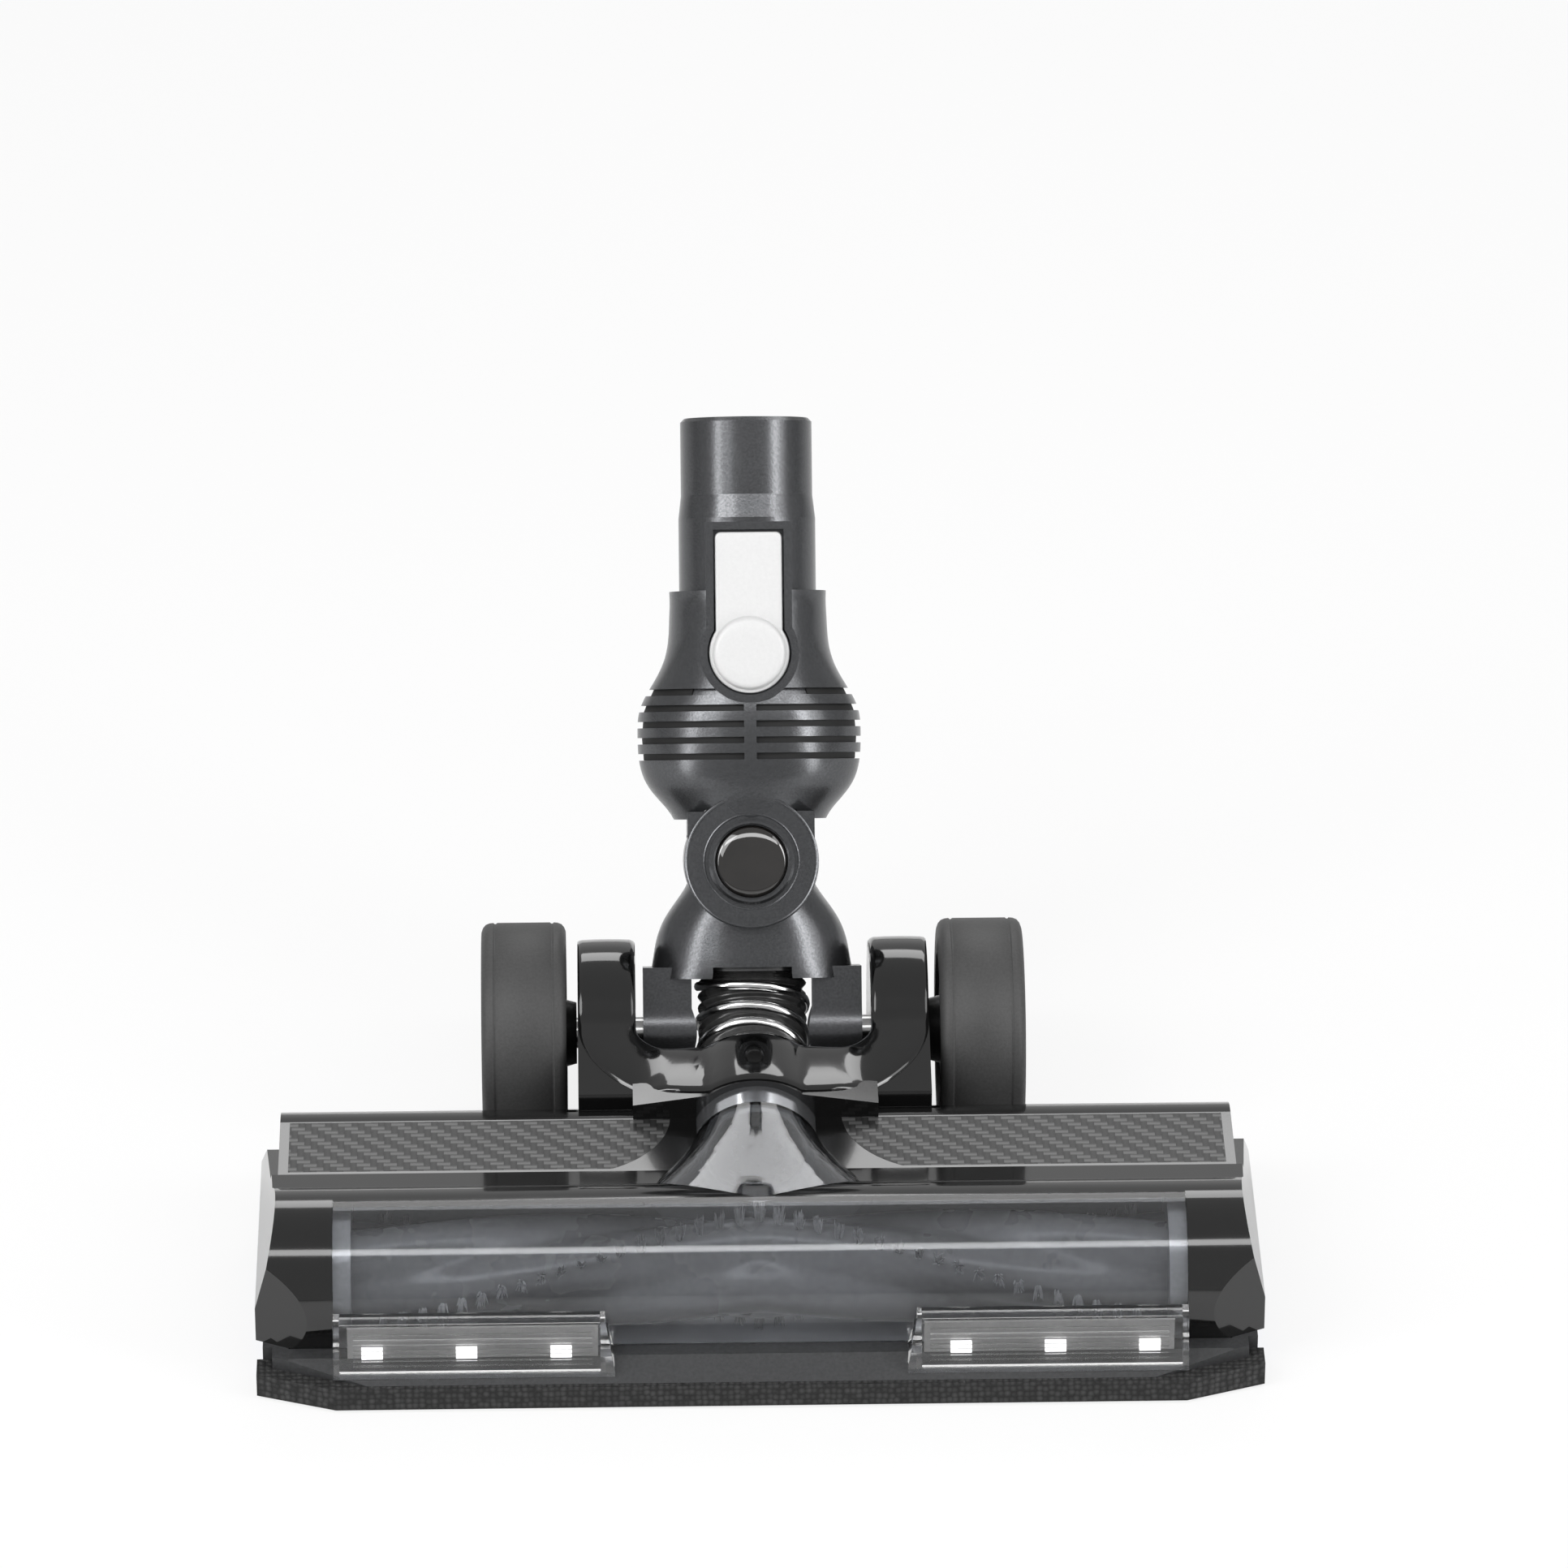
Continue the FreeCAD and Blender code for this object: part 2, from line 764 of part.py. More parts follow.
centre_recess = [(-20.5, 66.0), (20.5, 66.0), (16.5, 72.7), (-16.5, 72.7)]
cut(sole, "z", [centre_recess], v.sole_height - 1, v.sole_height + 1)
latch_recess = rectangle(latch_from, v.latch_front, latch_to, v.latch_rear - 1.5)
cut(sole, "z", [latch_recess], v.sole_height - 1, v.sole_height + v.latch_recess)
slot = rectangle(
    knob_from - v.latch_travel - v.latch_side_gap, v.knob_front - v.latch_side_gap,
    knob_to + v.latch_side_gap, v.knob_rear + v.latch_side_gap)
cut(sole, "z", [slot], v.sole_height - 1, floor_top + 1)
# Cradle ribs under the motor
motor_bed = v.motor_z - 4
for start in (motor_from + 5, motor_to - 8):
    rib = rectangle(v.motor_y - 9, v.sole_height + 1, v.motor_y + 9, motor_bed)
    pad(sole, "x", [rib], *span(-1, start, start + 3))
bed = (v.motor_y, v.motor_z, v.motor_radius)
cut(sole, "x", [bed], -motor_to, -motor_from)

# Top housing: the glossy rear shell with the deck, the bridge and the upper arms
housing = blank_body("housing_blank")
band = [
    (v.cover_y, v.cover_z + inner_radius, inner_radius),
    (v.cover_y, crest_height),
    (band_y, band_z, -v.cover_radius),
    (v.deck_front, v.deck_height),
    (v.deck_front, deck_under),
    (band_inner_y, band_inner_z),
]
pad(housing, "x", [band], -cover_half, cover_half)
tail = [
    (v.deck_front, deck_under),
    (v.deck_front, v.deck_height),
    (v.tail_y, v.deck_height),
    (tail_back, v.parting_rear, -v.tail_radius),
    (tail_back - v.wall, v.parting_rear),
    (v.tail_y, deck_under, tail_inner),
]
pad(housing, "x", [tail], -rear_half, rear_half)
tail_end = [
    (v.deck_front, v.parting_rear),
    (v.deck_front, v.deck_height),
    (v.tail_y, v.deck_height),
    (tail_back, v.parting_rear, -v.tail_radius),
]
for name, side in SIDES:
    pad(housing, "x", [tail_end], *span(side, inside_half, rear_half))
    pad(housing, "z", [arm_plan(side)], v.parting_rear, ear_top)
arm_top_front = v.bridge_front - 1
over_arms = [
    (arm_top_front, v.deck_height + 0.2),
    (shoulder_y, shoulder_z),
    (v.axle_y, ear_top, -v.ear_radius),
    (ear_back, v.axle_z, -v.ear_radius),
    (ear_back + 1, v.axle_z),
    (ear_back + 1, ear_top + 1),
    (arm_top_front, ear_top + 1),
]
for name, side in SIDES:
    edge = span(side, v.arm_root_inner - 0.5, v.arm_outer + 1)
    if side < 0:
        edge = (edge[0], -v.arm_inner)
    else:
        edge = (v.arm_inner, edge[1])
    cut(housing, "x", [over_arms], *edge)
    cut(housing, "x", [ear_under], *edge)
    inner_edge = span(side, v.arm_root_inner - 0.5, v.arm_inner)
    over_flare = rectangle(
        v.arm_root - 1, v.deck_height - 1, v.arm_flare_end + 1, ear_top + 1)
    cut(housing, "x", [over_flare], *inner_edge)
    hollow = mirrored(side, rectangle(
        v.arm_inner + v.wall, tail_back + 1, v.arm_outer - v.wall, v.arm_flare_end))
    cut(housing, "z", [hollow], v.parting_rear - 1, v.axle_z + 3)
    inlay = [
        (panel_outer, v.panel_front),
        (panel_outer, v.panel_rear),
    ]
    inlay.append((v.panel_inner, v.panel_rear))
    inlay.append((v.panel_inner_front, v.panel_front, v.panel_nose))
    inlay = mirrored(side, inlay)
    panel_low = v.deck_height - v.panel_thick
    cut(housing, "z", [inlay], panel_low, v.deck_height + 2)
    panel = new_body(name + "_trim_panel", HEAD)
    pad(panel, "z", [inlay], panel_low, v.deck_height)
arch_radius = v.ring_radius + v.bridge_wall
arch_height = v.duct_z + chord(arch_radius, v.bridge_shoulder)
bridge = [
    (-v.arm_inner - 1, v.deck_height - 1),
    (v.arm_inner + 1, v.deck_height - 1),
    (v.arm_inner + 1, v.bridge_side_height),
    (v.bridge_shoulder, arch_height),
    (-v.bridge_shoulder, arch_height, arch_radius),
    (-v.arm_inner - 1, v.bridge_side_height),
]
pad(housing, "y", [bridge], v.bridge_front, v.bridge_rear)
cut(housing, "y", [(ZERO, v.duct_z, ring_bore)],
    v.ring_front - v.bore_clear, v.arm_flare_end + 4)
cut(housing, "x", [(v.axle_y, v.axle_z, v.axle_radius)],
    -v.arm_outer - 1, v.arm_outer + 1)

# Front bumper strip with its swept corners
bumper = new_body("front_bumper", HEAD)
bumper_plan = [
    (-corner_start, ZERO),
    (corner_start, ZERO),
    (v.head_half, v.corner_slope * (v.head_half - corner_start)),
    (v.head_half, v.bumper_side_end),
    (bumper_side, v.bumper_side_end),
    (bumper_side, bumper_side_y),
    (bumper_inner, v.bumper_depth),
    (-bumper_inner, v.bumper_depth),
    (-bumper_side, bumper_side_y),
    (-bumper_side, v.bumper_side_end),
    (-v.head_half, v.bumper_side_end),
    (-v.head_half, v.corner_slope * (v.head_half - corner_start)),
]
pad(bumper, "z", [bumper_plan], v.bumper_low, v.bumper_top)

# End caps, each hollow over the roll's bearing and the belt
for name, side in SIDES:
    cap = new_body(name + "_end_cap", HEAD)
    cap_side = [
        (cover_foot, v.parting_front),
        (v.cover_y, crest_height, -v.cover_radius),
        (band_y, band_z, -v.cover_radius),
        (v.deck_front, v.deck_height),
        (v.deck_front, v.parting_front),
    ]
    pad(cap, "x", [cap_side], *span(side, cover_half, cap_outer))
    wing = [
        (v.deck_front - 0.5, v.parting_front),
        (v.side_end, v.parting_front),
        (v.side_end + 3, v.parting_rear),
        (v.side_end - 3, v.deck_height - 8),
        (v.deck_front - 0.5, v.deck_height - 1),
    ]
    pad(cap, "x", [wing], *span(side, rear_half + 0.05, cap_outer))
    slant = mirrored(side, [
        (cap_outer, v.cap_slant_low),
        (cap_outer - v.cap_slant_in, crest_height),
        (cap_outer - v.cap_slant_in, crest_height + 3),
        (cap_outer + 3, crest_height + 3),
        (cap_outer + 3, v.cap_slant_low),
    ])
    cut(cap, "y", [slant], ZERO, v.side_end + 10)
    corner = mirrored(side, [
        (cover_half + 2, cover_foot - 4),
        (cap_outer + 3, cover_foot - 4),
        (cap_outer + 3, cover_foot + 5.5),
    ])
    cut(cap, "z", [corner], v.parting_front - 1, crest_height + 1)
    disc_room = (v.cover_y, v.roll_z, v.disc_radius + 0.7)
    cut(cap, "x", [disc_room], *span(side, cover_half - 1, disc_end + 1))
    roll_room = (v.cover_y, v.roll_z, v.disc_radius - 1)
    cut(cap, "x", [roll_room], *span(side, cover_half - 1, bearing_from + 0.8))
    belt_room = rectangle(v.cover_y, v.parting_front - 1, v.deck_front + 1,
                          v.roll_z + v.roll_pulley_radius + 2.6)
    cut(cap, "x", [belt_room], *span(side, cover_half - 1, bearing_from + 0.8))
    bearing_room = rectangle(
        v.cover_y - v.bearing_radius - 0.5, v.parting_front - 1,
        v.cover_y + v.bearing_radius + 0.5, v.roll_z + v.bearing_radius + 0.5)
    cut(cap, "x", [bearing_room], *span(side, cover_half - 1, bearing_to + 0.7))

# Lamp lenses, boards and lamps
lens_front = [
    (3.1, 7.9),
    (v.sill_back + 0.1, v.parting_front + 0.05),
    (cover_foot - 0.35, v.parting_front + 0.05),
    (cover_foot - 1.0, v.parting_front + 2.0),
    (v.cover_y - v.cover_radius - 0.1, v.cover_z),
    (v.cover_y - v.cover_radius - 0.1, v.cover_z + 2.8),
    (7.5, 21.5),
]
lens_inside = [
    (4.9, 9.3),
    (8.7, 20.2),
    (14.0, 21.0),
    (14.0, 7.0),
    (5.5, 7.0),
]
for name, side in SIDES:
    lens = new_body(name + "_lamp_lens", HEAD)
    pad(lens, "x", [lens_front], *span(side, lens_inner, cover_half))
    raked_end = mirrored(side, [
        (lens_inner - 1, ZERO),
        (lens_inner, ZERO),
        (lens_inner, v.lens_rake_from),
        (lens_inner + v.lens_rake, crest_height),
        (lens_inner - 1, crest_height),
    ])
    cut(lens, "y", [raked_end], ZERO, v.cover_y)
    cut(lens, "x", [lens_inside],
        *span(side, lens_inner + v.lens_rake_wall, cover_half - v.lens_wall))
    board = new_body(name + "_lamp_board", HEAD)
    strip = rectangle(v.board_y, v.board_low, v.board_y + v.board_thick, v.board_top)
    pad(board, "x", [strip], *span(side, board_inner, board_outer))


def block(stations_x, stations_y, stations_z):
    """Part box between stations, all three bound to the sheet."""
    item = doc.addObject("Part::Box", "Block")
    for prop, (start, end), key in (
            ("Length", stations_x, "x"), ("Width", stations_y, "y"),
            ("Height", stations_z, "z")):
        start = as_size(start)
        end = as_size(end)
        setattr(item, prop, float(end - start))
        item.setExpression(prop, (end - start).text)
        item.setExpression(".Placement.Base." + key, start.text)
    return item


TURNS = {
    "x": FreeCAD.Rotation(FreeCAD.Vector(0, 1, 0), 90),
    "y": FreeCAD.Rotation(FreeCAD.Vector(1, 0, 0), -90),
    "z": FreeCAD.Rotation(),
}


def rod(axis, first, second, start, end, radius):
    """Part cylinder along an axis; first and second are its other places."""
    item = doc.addObject("Part::Cylinder", "Rod")
    start = as_size(start)
    end = as_size(end)
    item.Radius = float(radius)
    item.Height = float(end - start)
    item.setExpression("Radius", as_size(radius).text)
    item.setExpression("Height", (end - start).text)
    item.Placement = FreeCAD.Placement(FreeCAD.Vector(), TURNS[axis])
    others = [key for key in "xyz" if key != axis]
    item.setExpression(".Placement.Base." + axis, start.text)
    item.setExpression(".Placement.Base." + others[0], as_size(first).text)
    item.setExpression(".Placement.Base." + others[1], as_size(second).text)
    return item


def fuse(items):
    joined = doc.addObject("Part::MultiFuse", "Fuse")
    joined.Shapes = items
    return joined


def take_away(base, tools):
    result = doc.addObject("Part::Cut", "Cut")
    result.Base = base
    result.Tool = tools[0] if len(tools) == 1 else fuse(tools)
    return result


def group(items):
    together = doc.addObject("Part::Compound", "Group")
    together.Links = items
    return together


def section(base_axis, station, half_width, half_height, centre):
    """Ellipse across the neck's height (z) or the head's depth (y)."""
    ellipse = doc.addObject("Part::Ellipse", "Section")
    ellipse.MajorRadius = float(half_width)
    ellipse.MinorRadius = float(half_height)
    ellipse.setExpression("MajorRadius", half_width.text)
    ellipse.setExpression("MinorRadius", half_height.text)
    ellipse.Placement = FreeCAD.Placement(FreeCAD.Vector(), TURNS[base_axis])
    ellipse.setExpression(".Placement.Base." + base_axis, station.text)
    if base_axis == "y":
        ellipse.setExpression(".Placement.Base.z", centre.text)
    return ellipse


def loft(base_axis, names, shrink_side=ZERO, shrink_height=ZERO):
    """Solid through elliptical stations of the neck or the funnel."""
    stations = []
    for name in names:
        stations.append(section(
            base_axis, getattr(v, name + "_station"),
            getattr(v, name + "_wide") - shrink_side,
            getattr(v, name + "_deep") - shrink_height, v.duct_z))
    solid = doc.addObject("Part::Loft", "Loft")
    solid.Sections = stations
    solid.Solid = True
    return solid


# Clear cover: an arc over the brush roll that runs back into a funnel
funnel_outer = loft("y", FUNNEL_SECTIONS)
funnel_wall = take_away(funnel_outer, [
    loft("y", FUNNEL_SECTIONS, v.cover_wall, v.cover_wall)])
width = v.funnel_1_wide + 5
below = block((-width, width), (v.cover_y - 5, v.ring_front + 5),
              (ZERO, v.duct_z))
above = block((-width, width), (v.cover_y - 5, v.ring_front + 5),
              (v.duct_z, v.duct_z + v.ring_radius + 5))
chamber = rod("x", v.cover_y, v.cover_z, -cover_half, cover_half, inner_radius)
cover_arc = [
    (cover_foot, v.parting_front),
    (v.cover_y, crest_height, -v.cover_radius),
    (v.cover_y, v.cover_z + inner_radius),
    (cover_inner_foot, v.parting_front, inner_radius),
]
cover_front = blank_body("cover_front")
pad(cover_front, "x", [cover_arc], -cover_half, cover_half)
cover_hood = take_away(funnel_wall, [below, chamber])
finish(fuse([cover_front, cover_hood]), "clear_cover", HEAD)

# Lower half of the funnel, closed against the liner
roll_room = rod("x", v.cover_y, v.roll_z, -cover_half, cover_half, v.liner_radius)
finish(take_away(funnel_wall, [above, roll_room]), "duct_floor", HEAD)

# Liner behind the roll, open to the funnel
liner_outer = v.liner_radius + v.liner_wall
liner_drop = v.roll_z - v.parting_front
liner_arc = [
    (v.cover_y + chord(v.liner_radius, liner_drop), v.parting_front, -v.liner_radius),
    (v.cover_y + chord(liner_outer, liner_drop), v.parting_front),
    (v.cover_y + liner_outer * cosine(v.liner_top_angle),
     v.roll_z + liner_outer * sine(v.liner_top_angle), liner_outer),
    (v.cover_y + v.liner_radius * cosine(v.liner_top_angle),
     v.roll_z + v.liner_radius * sine(v.liner_top_angle)),
]
liner = blank_body("liner_blank")
pad(liner, "x", [liner_arc], -cover_half, cover_half)
finish(take_away(liner, [funnel_outer]), "chamber_liner", HEAD)
finish(take_away(housing, [funnel_outer]), "top_housing", HEAD)

lamps = []
for name, side in SIDES:
    for place_number in range(3):
        centre = (lamp_first + v.lamp_pitch * place_number) * side
        lamps.append(block(
            (centre - v.lamp_wide / 2, centre + v.lamp_wide / 2),
            (v.board_y - v.lamp_deep, v.board_y),
            (v.lamp_z - v.lamp_high / 2, v.lamp_z + v.lamp_high / 2)))
finish(group(lamps), "lamp_leds", HEAD)

# Felt strip in its groove, down to the floor
felt = new_body("felt_strip", HEAD)
pad(felt, "z", [felt_plan], ZERO, groove_top)

# Ring at the end of the funnel and the hose
ring = new_body("duct_ring", DUCT)
socket = v.hose_radius + v.hose_fit
revolve(ring, "XY_Plane", [
    (v.duct_bore, v.ring_front),
    (v.ring_radius, v.ring_front),
    (v.ring_radius, v.ring_rear),
    (socket, v.ring_rear),
    (socket, v.ring_front + v.ring_flange),
    (v.duct_bore, v.ring_front + v.ring_flange),
], "V_Axis")
hose = new_body("hose", HEAD)
hose_start = v.ring_front + v.ring_flange + 0.1
corner_y = v.axle_y - (v.axle_z - v.duct_z) * neck_sine / neck_cosine
bend_half = (90 - v.lean_angle) / 2
bend_run = v.hose_bend * sine(bend_half) / cosine(bend_half)
hose_path = [
    (hose_start, v.duct_z),
    (corner_y - bend_run, v.duct_z),
    (corner_y + bend_run * neck_sine, v.duct_z + bend_run * neck_cosine, v.hose_bend),
    (v.axle_y + v.hose_end * neck_sine, v.axle_z + v.hose_end * neck_cosine),
]
spine = new_sketch(hose, "YZ_Plane", ZERO)
draw_loop(spine, hose_path, closed=False)
hose_section = new_sketch(hose, "XZ_Plane", -hose_start)
draw(hose_section, [(ZERO, v.duct_z, v.hose_radius),
                    (ZERO, v.duct_z, v.hose_radius - v.hose_wall)])
hose_pipe = hose.newObject("PartDesign::AdditivePipe", "Pipe")
hose_pipe.Profile = hose_section
hose_pipe.Spine = (spine, ["Edge1", "Edge2", "Edge3"])
hose.Tip = hose_pipe

# Motor with its shaft and small pulley
motor = new_body("drive_motor", MOTOR)
shaft_bore = v.motor_shaft_radius + v.running_fit
revolve(motor, "XZ_Plane", [
    (-motor_to, shaft_bore),
    (-motor_to, v.motor_radius - 1),
    (1 - motor_to, v.motor_radius),
    (-1 - motor_from, v.motor_radius),
    (-motor_from, v.motor_radius - 1),
    (-motor_from, ZERO),
    (12 - motor_to, ZERO),
    (12 - motor_to, shaft_bore),
], "H_Axis")
motor_shaft = new_body("motor_shaft", MOTOR)
pad(motor_shaft, "x", [(ZERO, ZERO, v.motor_shaft_radius)],
    -motor_shaft_to, 11.8 - motor_to)
pulley_end = pulley_from + v.pulley_width
motor_pulley = new_body("motor_pulley", MOTOR)
pad(motor_pulley, "x", [(ZERO, ZERO, v.motor_pulley_radius),
                        (ZERO, ZERO, v.motor_shaft_radius)], -pulley_end, -pulley_from)

# Brush roll
core = new_body("brush_core", ROLL)
pad(core, "x", [(ZERO, ZERO, v.core_radius), (ZERO, ZERO, v.core_radius - v.core_wall)],
    -core_half, core_half)
for name, side in SIDES:
    disc = new_body(name + "_end_disc", ROLL)
    pad(disc, "x", [(ZERO, ZERO, v.disc_radius), (ZERO, ZERO, v.roll_shaft_radius)],
        *span(side, core_half, disc_end))
roll_shaft = new_body("roll_shaft", ROLL)
pad(roll_shaft, "x", [(ZERO, ZERO, v.roll_shaft_radius)],
    -roll_shaft_half, roll_shaft_half)
roll_pulley = new_body("roll_pulley", ROLL)
pad(roll_pulley, "x", [(ZERO, ZERO, v.roll_pulley_radius),
                       (ZERO, ZERO, v.roll_shaft_radius)], -pulley_end, -pulley_from)

# Two rows of tufts that meet in a V: many small solids, so plain Part shapes
tufts = doc.addObject("Part::Feature", "bristle_tufts")
tuft_shapes = []
tuft_length = float(v.tip_radius) - float(v.core_radius)
rows = int((float(core_half) - 4) / float(v.tuft_pitch))
for row in range(-rows, rows + 1):
    along = row * float(v.tuft_pitch)
    for turn_start in (0, 180):
        half = float(v.tuft_width) / 2
        corner = FreeCAD.Vector(along - half, -half, float(v.core_radius))
        tuft = Part.makeBox(2 * half, 2 * half, tuft_length, corner)
        turn = turn_start + abs(along) * float(v.tuft_twist)
        tuft.rotate(FreeCAD.Vector(), FreeCAD.Vector(1, 0, 0), turn)
        tuft_shapes.append(tuft)
tufts.Shape = Part.Compound(tuft_shapes)
finish(tufts, "bristle_tufts", ROLL)

# Drive belt: an open loop outline round both pulleys, worked out by tangents
def belt_face(reach):
    """Face bounded by the loop at a reach beyond the pulleys."""
    big = float(v.roll_pulley_radius) + reach
    small = float(v.motor_pulley_radius) + reach
    across = float(v.motor_y) - float(v.cover_y)
    rise = float(v.motor_z) - float(v.roll_z)
    gap = math.hypot(across, rise)
    tilt = math.atan2(rise, across)
    lift = math.acos((big - small) / gap)
    def spot(centre_y, centre_z, radius, angle):
        return FreeCAD.Vector(
            0, centre_y + radius * math.cos(angle), centre_z + radius * math.sin(angle))
    top = tilt + lift
    low = tilt - lift
    far = tilt + math.pi
    big_top = spot(0, 0, big, top)
    big_low = spot(0, 0, big, low)
    small_top = spot(across, rise, small, top)
    small_low = spot(across, rise, small, low)
    edges = [
        Part.Arc(big_top, spot(0, 0, big, far), big_low).toShape(),
        Part.makeLine(big_low, small_low),
        Part.Arc(small_low, spot(across, rise, small, tilt), small_top).toShape(),
        Part.makeLine(small_top, big_top),
    ]
    return Part.Face(Part.Wire(edges))


belt = doc.addObject("Part::Feature", "drive_belt")
belt_outer = belt_face(float(v.belt_gap) + float(v.belt_thick))
belt_loop = belt_outer.cut(belt_face(float(v.belt_gap)))
belt_loop.translate(FreeCAD.Vector(-float(pulley_from) - float(v.belt_width) - 0.5, 0, 0))
belt.Shape = belt_loop.extrude(FreeCAD.Vector(float(v.belt_width), 0, 0))
finish(belt, "drive_belt", ROLL)

# Mouth covers and roll bearings at both ends
for name, side in SIDES:
    plate = new_body(name + "_mouth_cover", HEAD)
    outline = rectangle(v.mouth_front, v.sole_height, v.mouth_rear, floor_top - 0.2)
    pad(plate, "x", [outline], *span(side, cover_plate_from, mouth_half))
    bearing = new_body(name + "_roll_bearing", ROLL)
    drop = v.parting_front - v.roll_z
    foot = rectangle(-v.bearing_foot, drop, v.bearing_foot, ZERO)
    where = span(side, bearing_from, bearing_to)
    pad(bearing, "x", [foot], *where)
    pad(bearing, "x", [(ZERO, ZERO, v.bearing_radius)], *where)
    cut(bearing, "x", [(ZERO, ZERO, v.roll_shaft_radius + v.running_fit)], *where)

# Screws of the underside
screws = []
for name, side in SIDES:
    for screw in SCREWS:
        seat = getattr(v, screw + "_seat")
        screws.append(rod("z", screw_across(screw) * side,
                          getattr(v, screw + "_back"), seat - v.screw_head, seat,
                          v.screw_radius))
finish(group(screws), "sole_screws", HEAD)

# Sliding latch of the underside
latch = new_body("latch_slider", HEAD)
pad(latch, "z", [rectangle(knob_from, v.knob_front, knob_to, v.knob_rear)],
    v.knob_low, floor_top + 0.1)
pad(latch, "z", [rectangle(knob_from - 3, v.knob_front - 2.3,
                           knob_to + 3, v.knob_rear + 2.3)],
    floor_top + 0.05, floor_top + 1.5)

# Rollers, wheels and their axles
for name, side in SIDES:
    pin = new_body(name + "_roller_pin", ROLLER)
    reach = v.roller_pin_length / 2
    pad(pin, "x", [(ZERO, ZERO, v.roller_pin_radius)],
        *span(side, roller_x - reach, roller_x + reach))
    roller = new_body(name + "_front_roller", ROLLER)
    pad(roller, "x", [(ZERO, ZERO, v.roller_radius),
                      (ZERO, ZERO, v.roller_pin_radius + v.running_fit)],
        *span(side, roller_x - roller_half, roller_x + roller_half))
    axle = new_body(name + "_wheel_axle", AXLE)
    pad(axle, "x", [(ZERO, ZERO, v.axle_radius)],
        *span(side, v.axle_inner, v.axle_outer))
    hub = new_body(name + "_wheel_hub", AXLE)
    axle_bore = v.axle_radius + v.running_fit
    hub_points = [
        (v.arm_outer + 0.4, axle_bore),
        (v.axle_outer + 0.1, axle_bore),
        (v.axle_outer + 0.1, v.rim_radius - 2.6),
        (v.wheel_outer - 1, v.rim_radius - 2.6),
        (v.wheel_outer - 1, v.rim_radius),
        (v.wheel_inner + 1, v.rim_radius),
        (v.wheel_inner + 1, v.axle_radius + 5),
        (v.arm_outer + 0.4, v.axle_radius + 4),
    ]
    revolve(hub, "XZ_Plane", mirrored(side, hub_points), "H_Axis")
    tyre = new_body(name + "_tyre", AXLE)
    tyre_points = [
        (v.wheel_inner, v.rim_radius),
        (v.wheel_outer, v.rim_radius),
        (v.wheel_outer, v.wheel_radius - 2),
        (v.wheel_outer - 2, v.wheel_radius),
        (v.wheel_inner + 2, v.wheel_radius),
        (v.wheel_inner, v.wheel_radius - 2),
    ]
    revolve(tyre, "XZ_Plane", mirrored(side, tyre_points), "H_Axis")
    hub_cap = new_body(name + "_hub_cap", AXLE)
    cap_points = [
        (v.axle_outer + 0.2, ZERO),
        (v.axle_outer + 0.2, v.rim_radius - 2.7),
        (v.wheel_outer - 2, v.rim_radius - 2.7),
        (v.wheel_outer - 1, v.rim_radius - 5),
        (v.wheel_outer - 1, ZERO),
    ]
    revolve(hub_cap, "XZ_Plane", mirrored(side, cap_points), "H_Axis")


# Neck fork: bosses on the axle, a flared shell and the hollow drum of the swivel
boss_span = (-v.boss_outer, v.boss_outer)
fork_solid = fuse([
    loft("z", FORK_SECTIONS),
    rod("y", ZERO, v.pivot_z, -v.drum_half, v.drum_half, v.drum_radius),
    rod("x", ZERO, ZERO, -v.boss_outer, v.boss_outer, v.boss_radius),
    block(boss_span, (-v.strap_half, v.strap_half), (0, v.strap_top)),
])
fork_hollows = [
    rod("z", ZERO, ZERO, -v.boss_radius - 1, v.strap_top, v.boss_inner),
    rod("z", ZERO, ZERO, v.collar_low - 3, v.collar_top, v.collar_radius),
    rod("z", ZERO, ZERO, v.collar_top - 1, v.pivot_z, v.air_bore),
    rod("y", ZERO, v.pivot_z, v.drum_wall - v.drum_half, v.drum_half - v.drum_wall,
        v.drum_radius - v.drum_wall),
    rod("z", ZERO, ZERO, v.pivot_z, v.pivot_z + v.drum_radius + 1, v.air_bore),
    rod("x", ZERO, ZERO, -v.boss_outer - 1, v.boss_outer + 1, v.axle_radius + v.running_fit),
]
finish(take_away(fork_solid, fork_hollows), "neck_fork", NECK)
hose_collar = new_body("hose_collar", NECK)
revolve(hose_collar, "XZ_Plane", [
    (socket, v.collar_low),
    (v.collar_radius, v.collar_low),
    (v.collar_radius, v.collar_top),
    (v.air_bore, v.collar_top),
    (v.air_bore, v.collar_top - 2),
    (socket, v.collar_top - 2),
], "V_Axis")
for name, side in (("front", -1), ("rear", 1)):
    pivot = new_body(name + "_pivot_cap", NECK)
    cap_face = v.cheek_out + v.cheek_gap
    profile = [
        (ZERO, v.drum_half * side),
        (v.pivot_pin_radius, v.drum_half * side),
        (v.pivot_pin_radius, cap_face * side),
        (v.pivot_cap_radius, cap_face * side),
        (v.pivot_cap_radius, (cap_face + v.pivot_cap_thick - 0.8) * side),
        (v.pivot_cap_radius - 0.8, (cap_face + v.pivot_cap_thick) * side),
        (ZERO, (cap_face + v.pivot_cap_thick) * side),
    ]
    sketch = new_sketch(pivot, "XY_Plane", v.pivot_z)
    draw_loop(sketch, profile)
    turned = pivot.newObject("PartDesign::Revolution", "Revolution")
    turned.Profile = sketch
    turned.ReferenceAxis = (sketch, ["V_Axis"])
    turned.Angle = 360
    pivot.Tip = turned

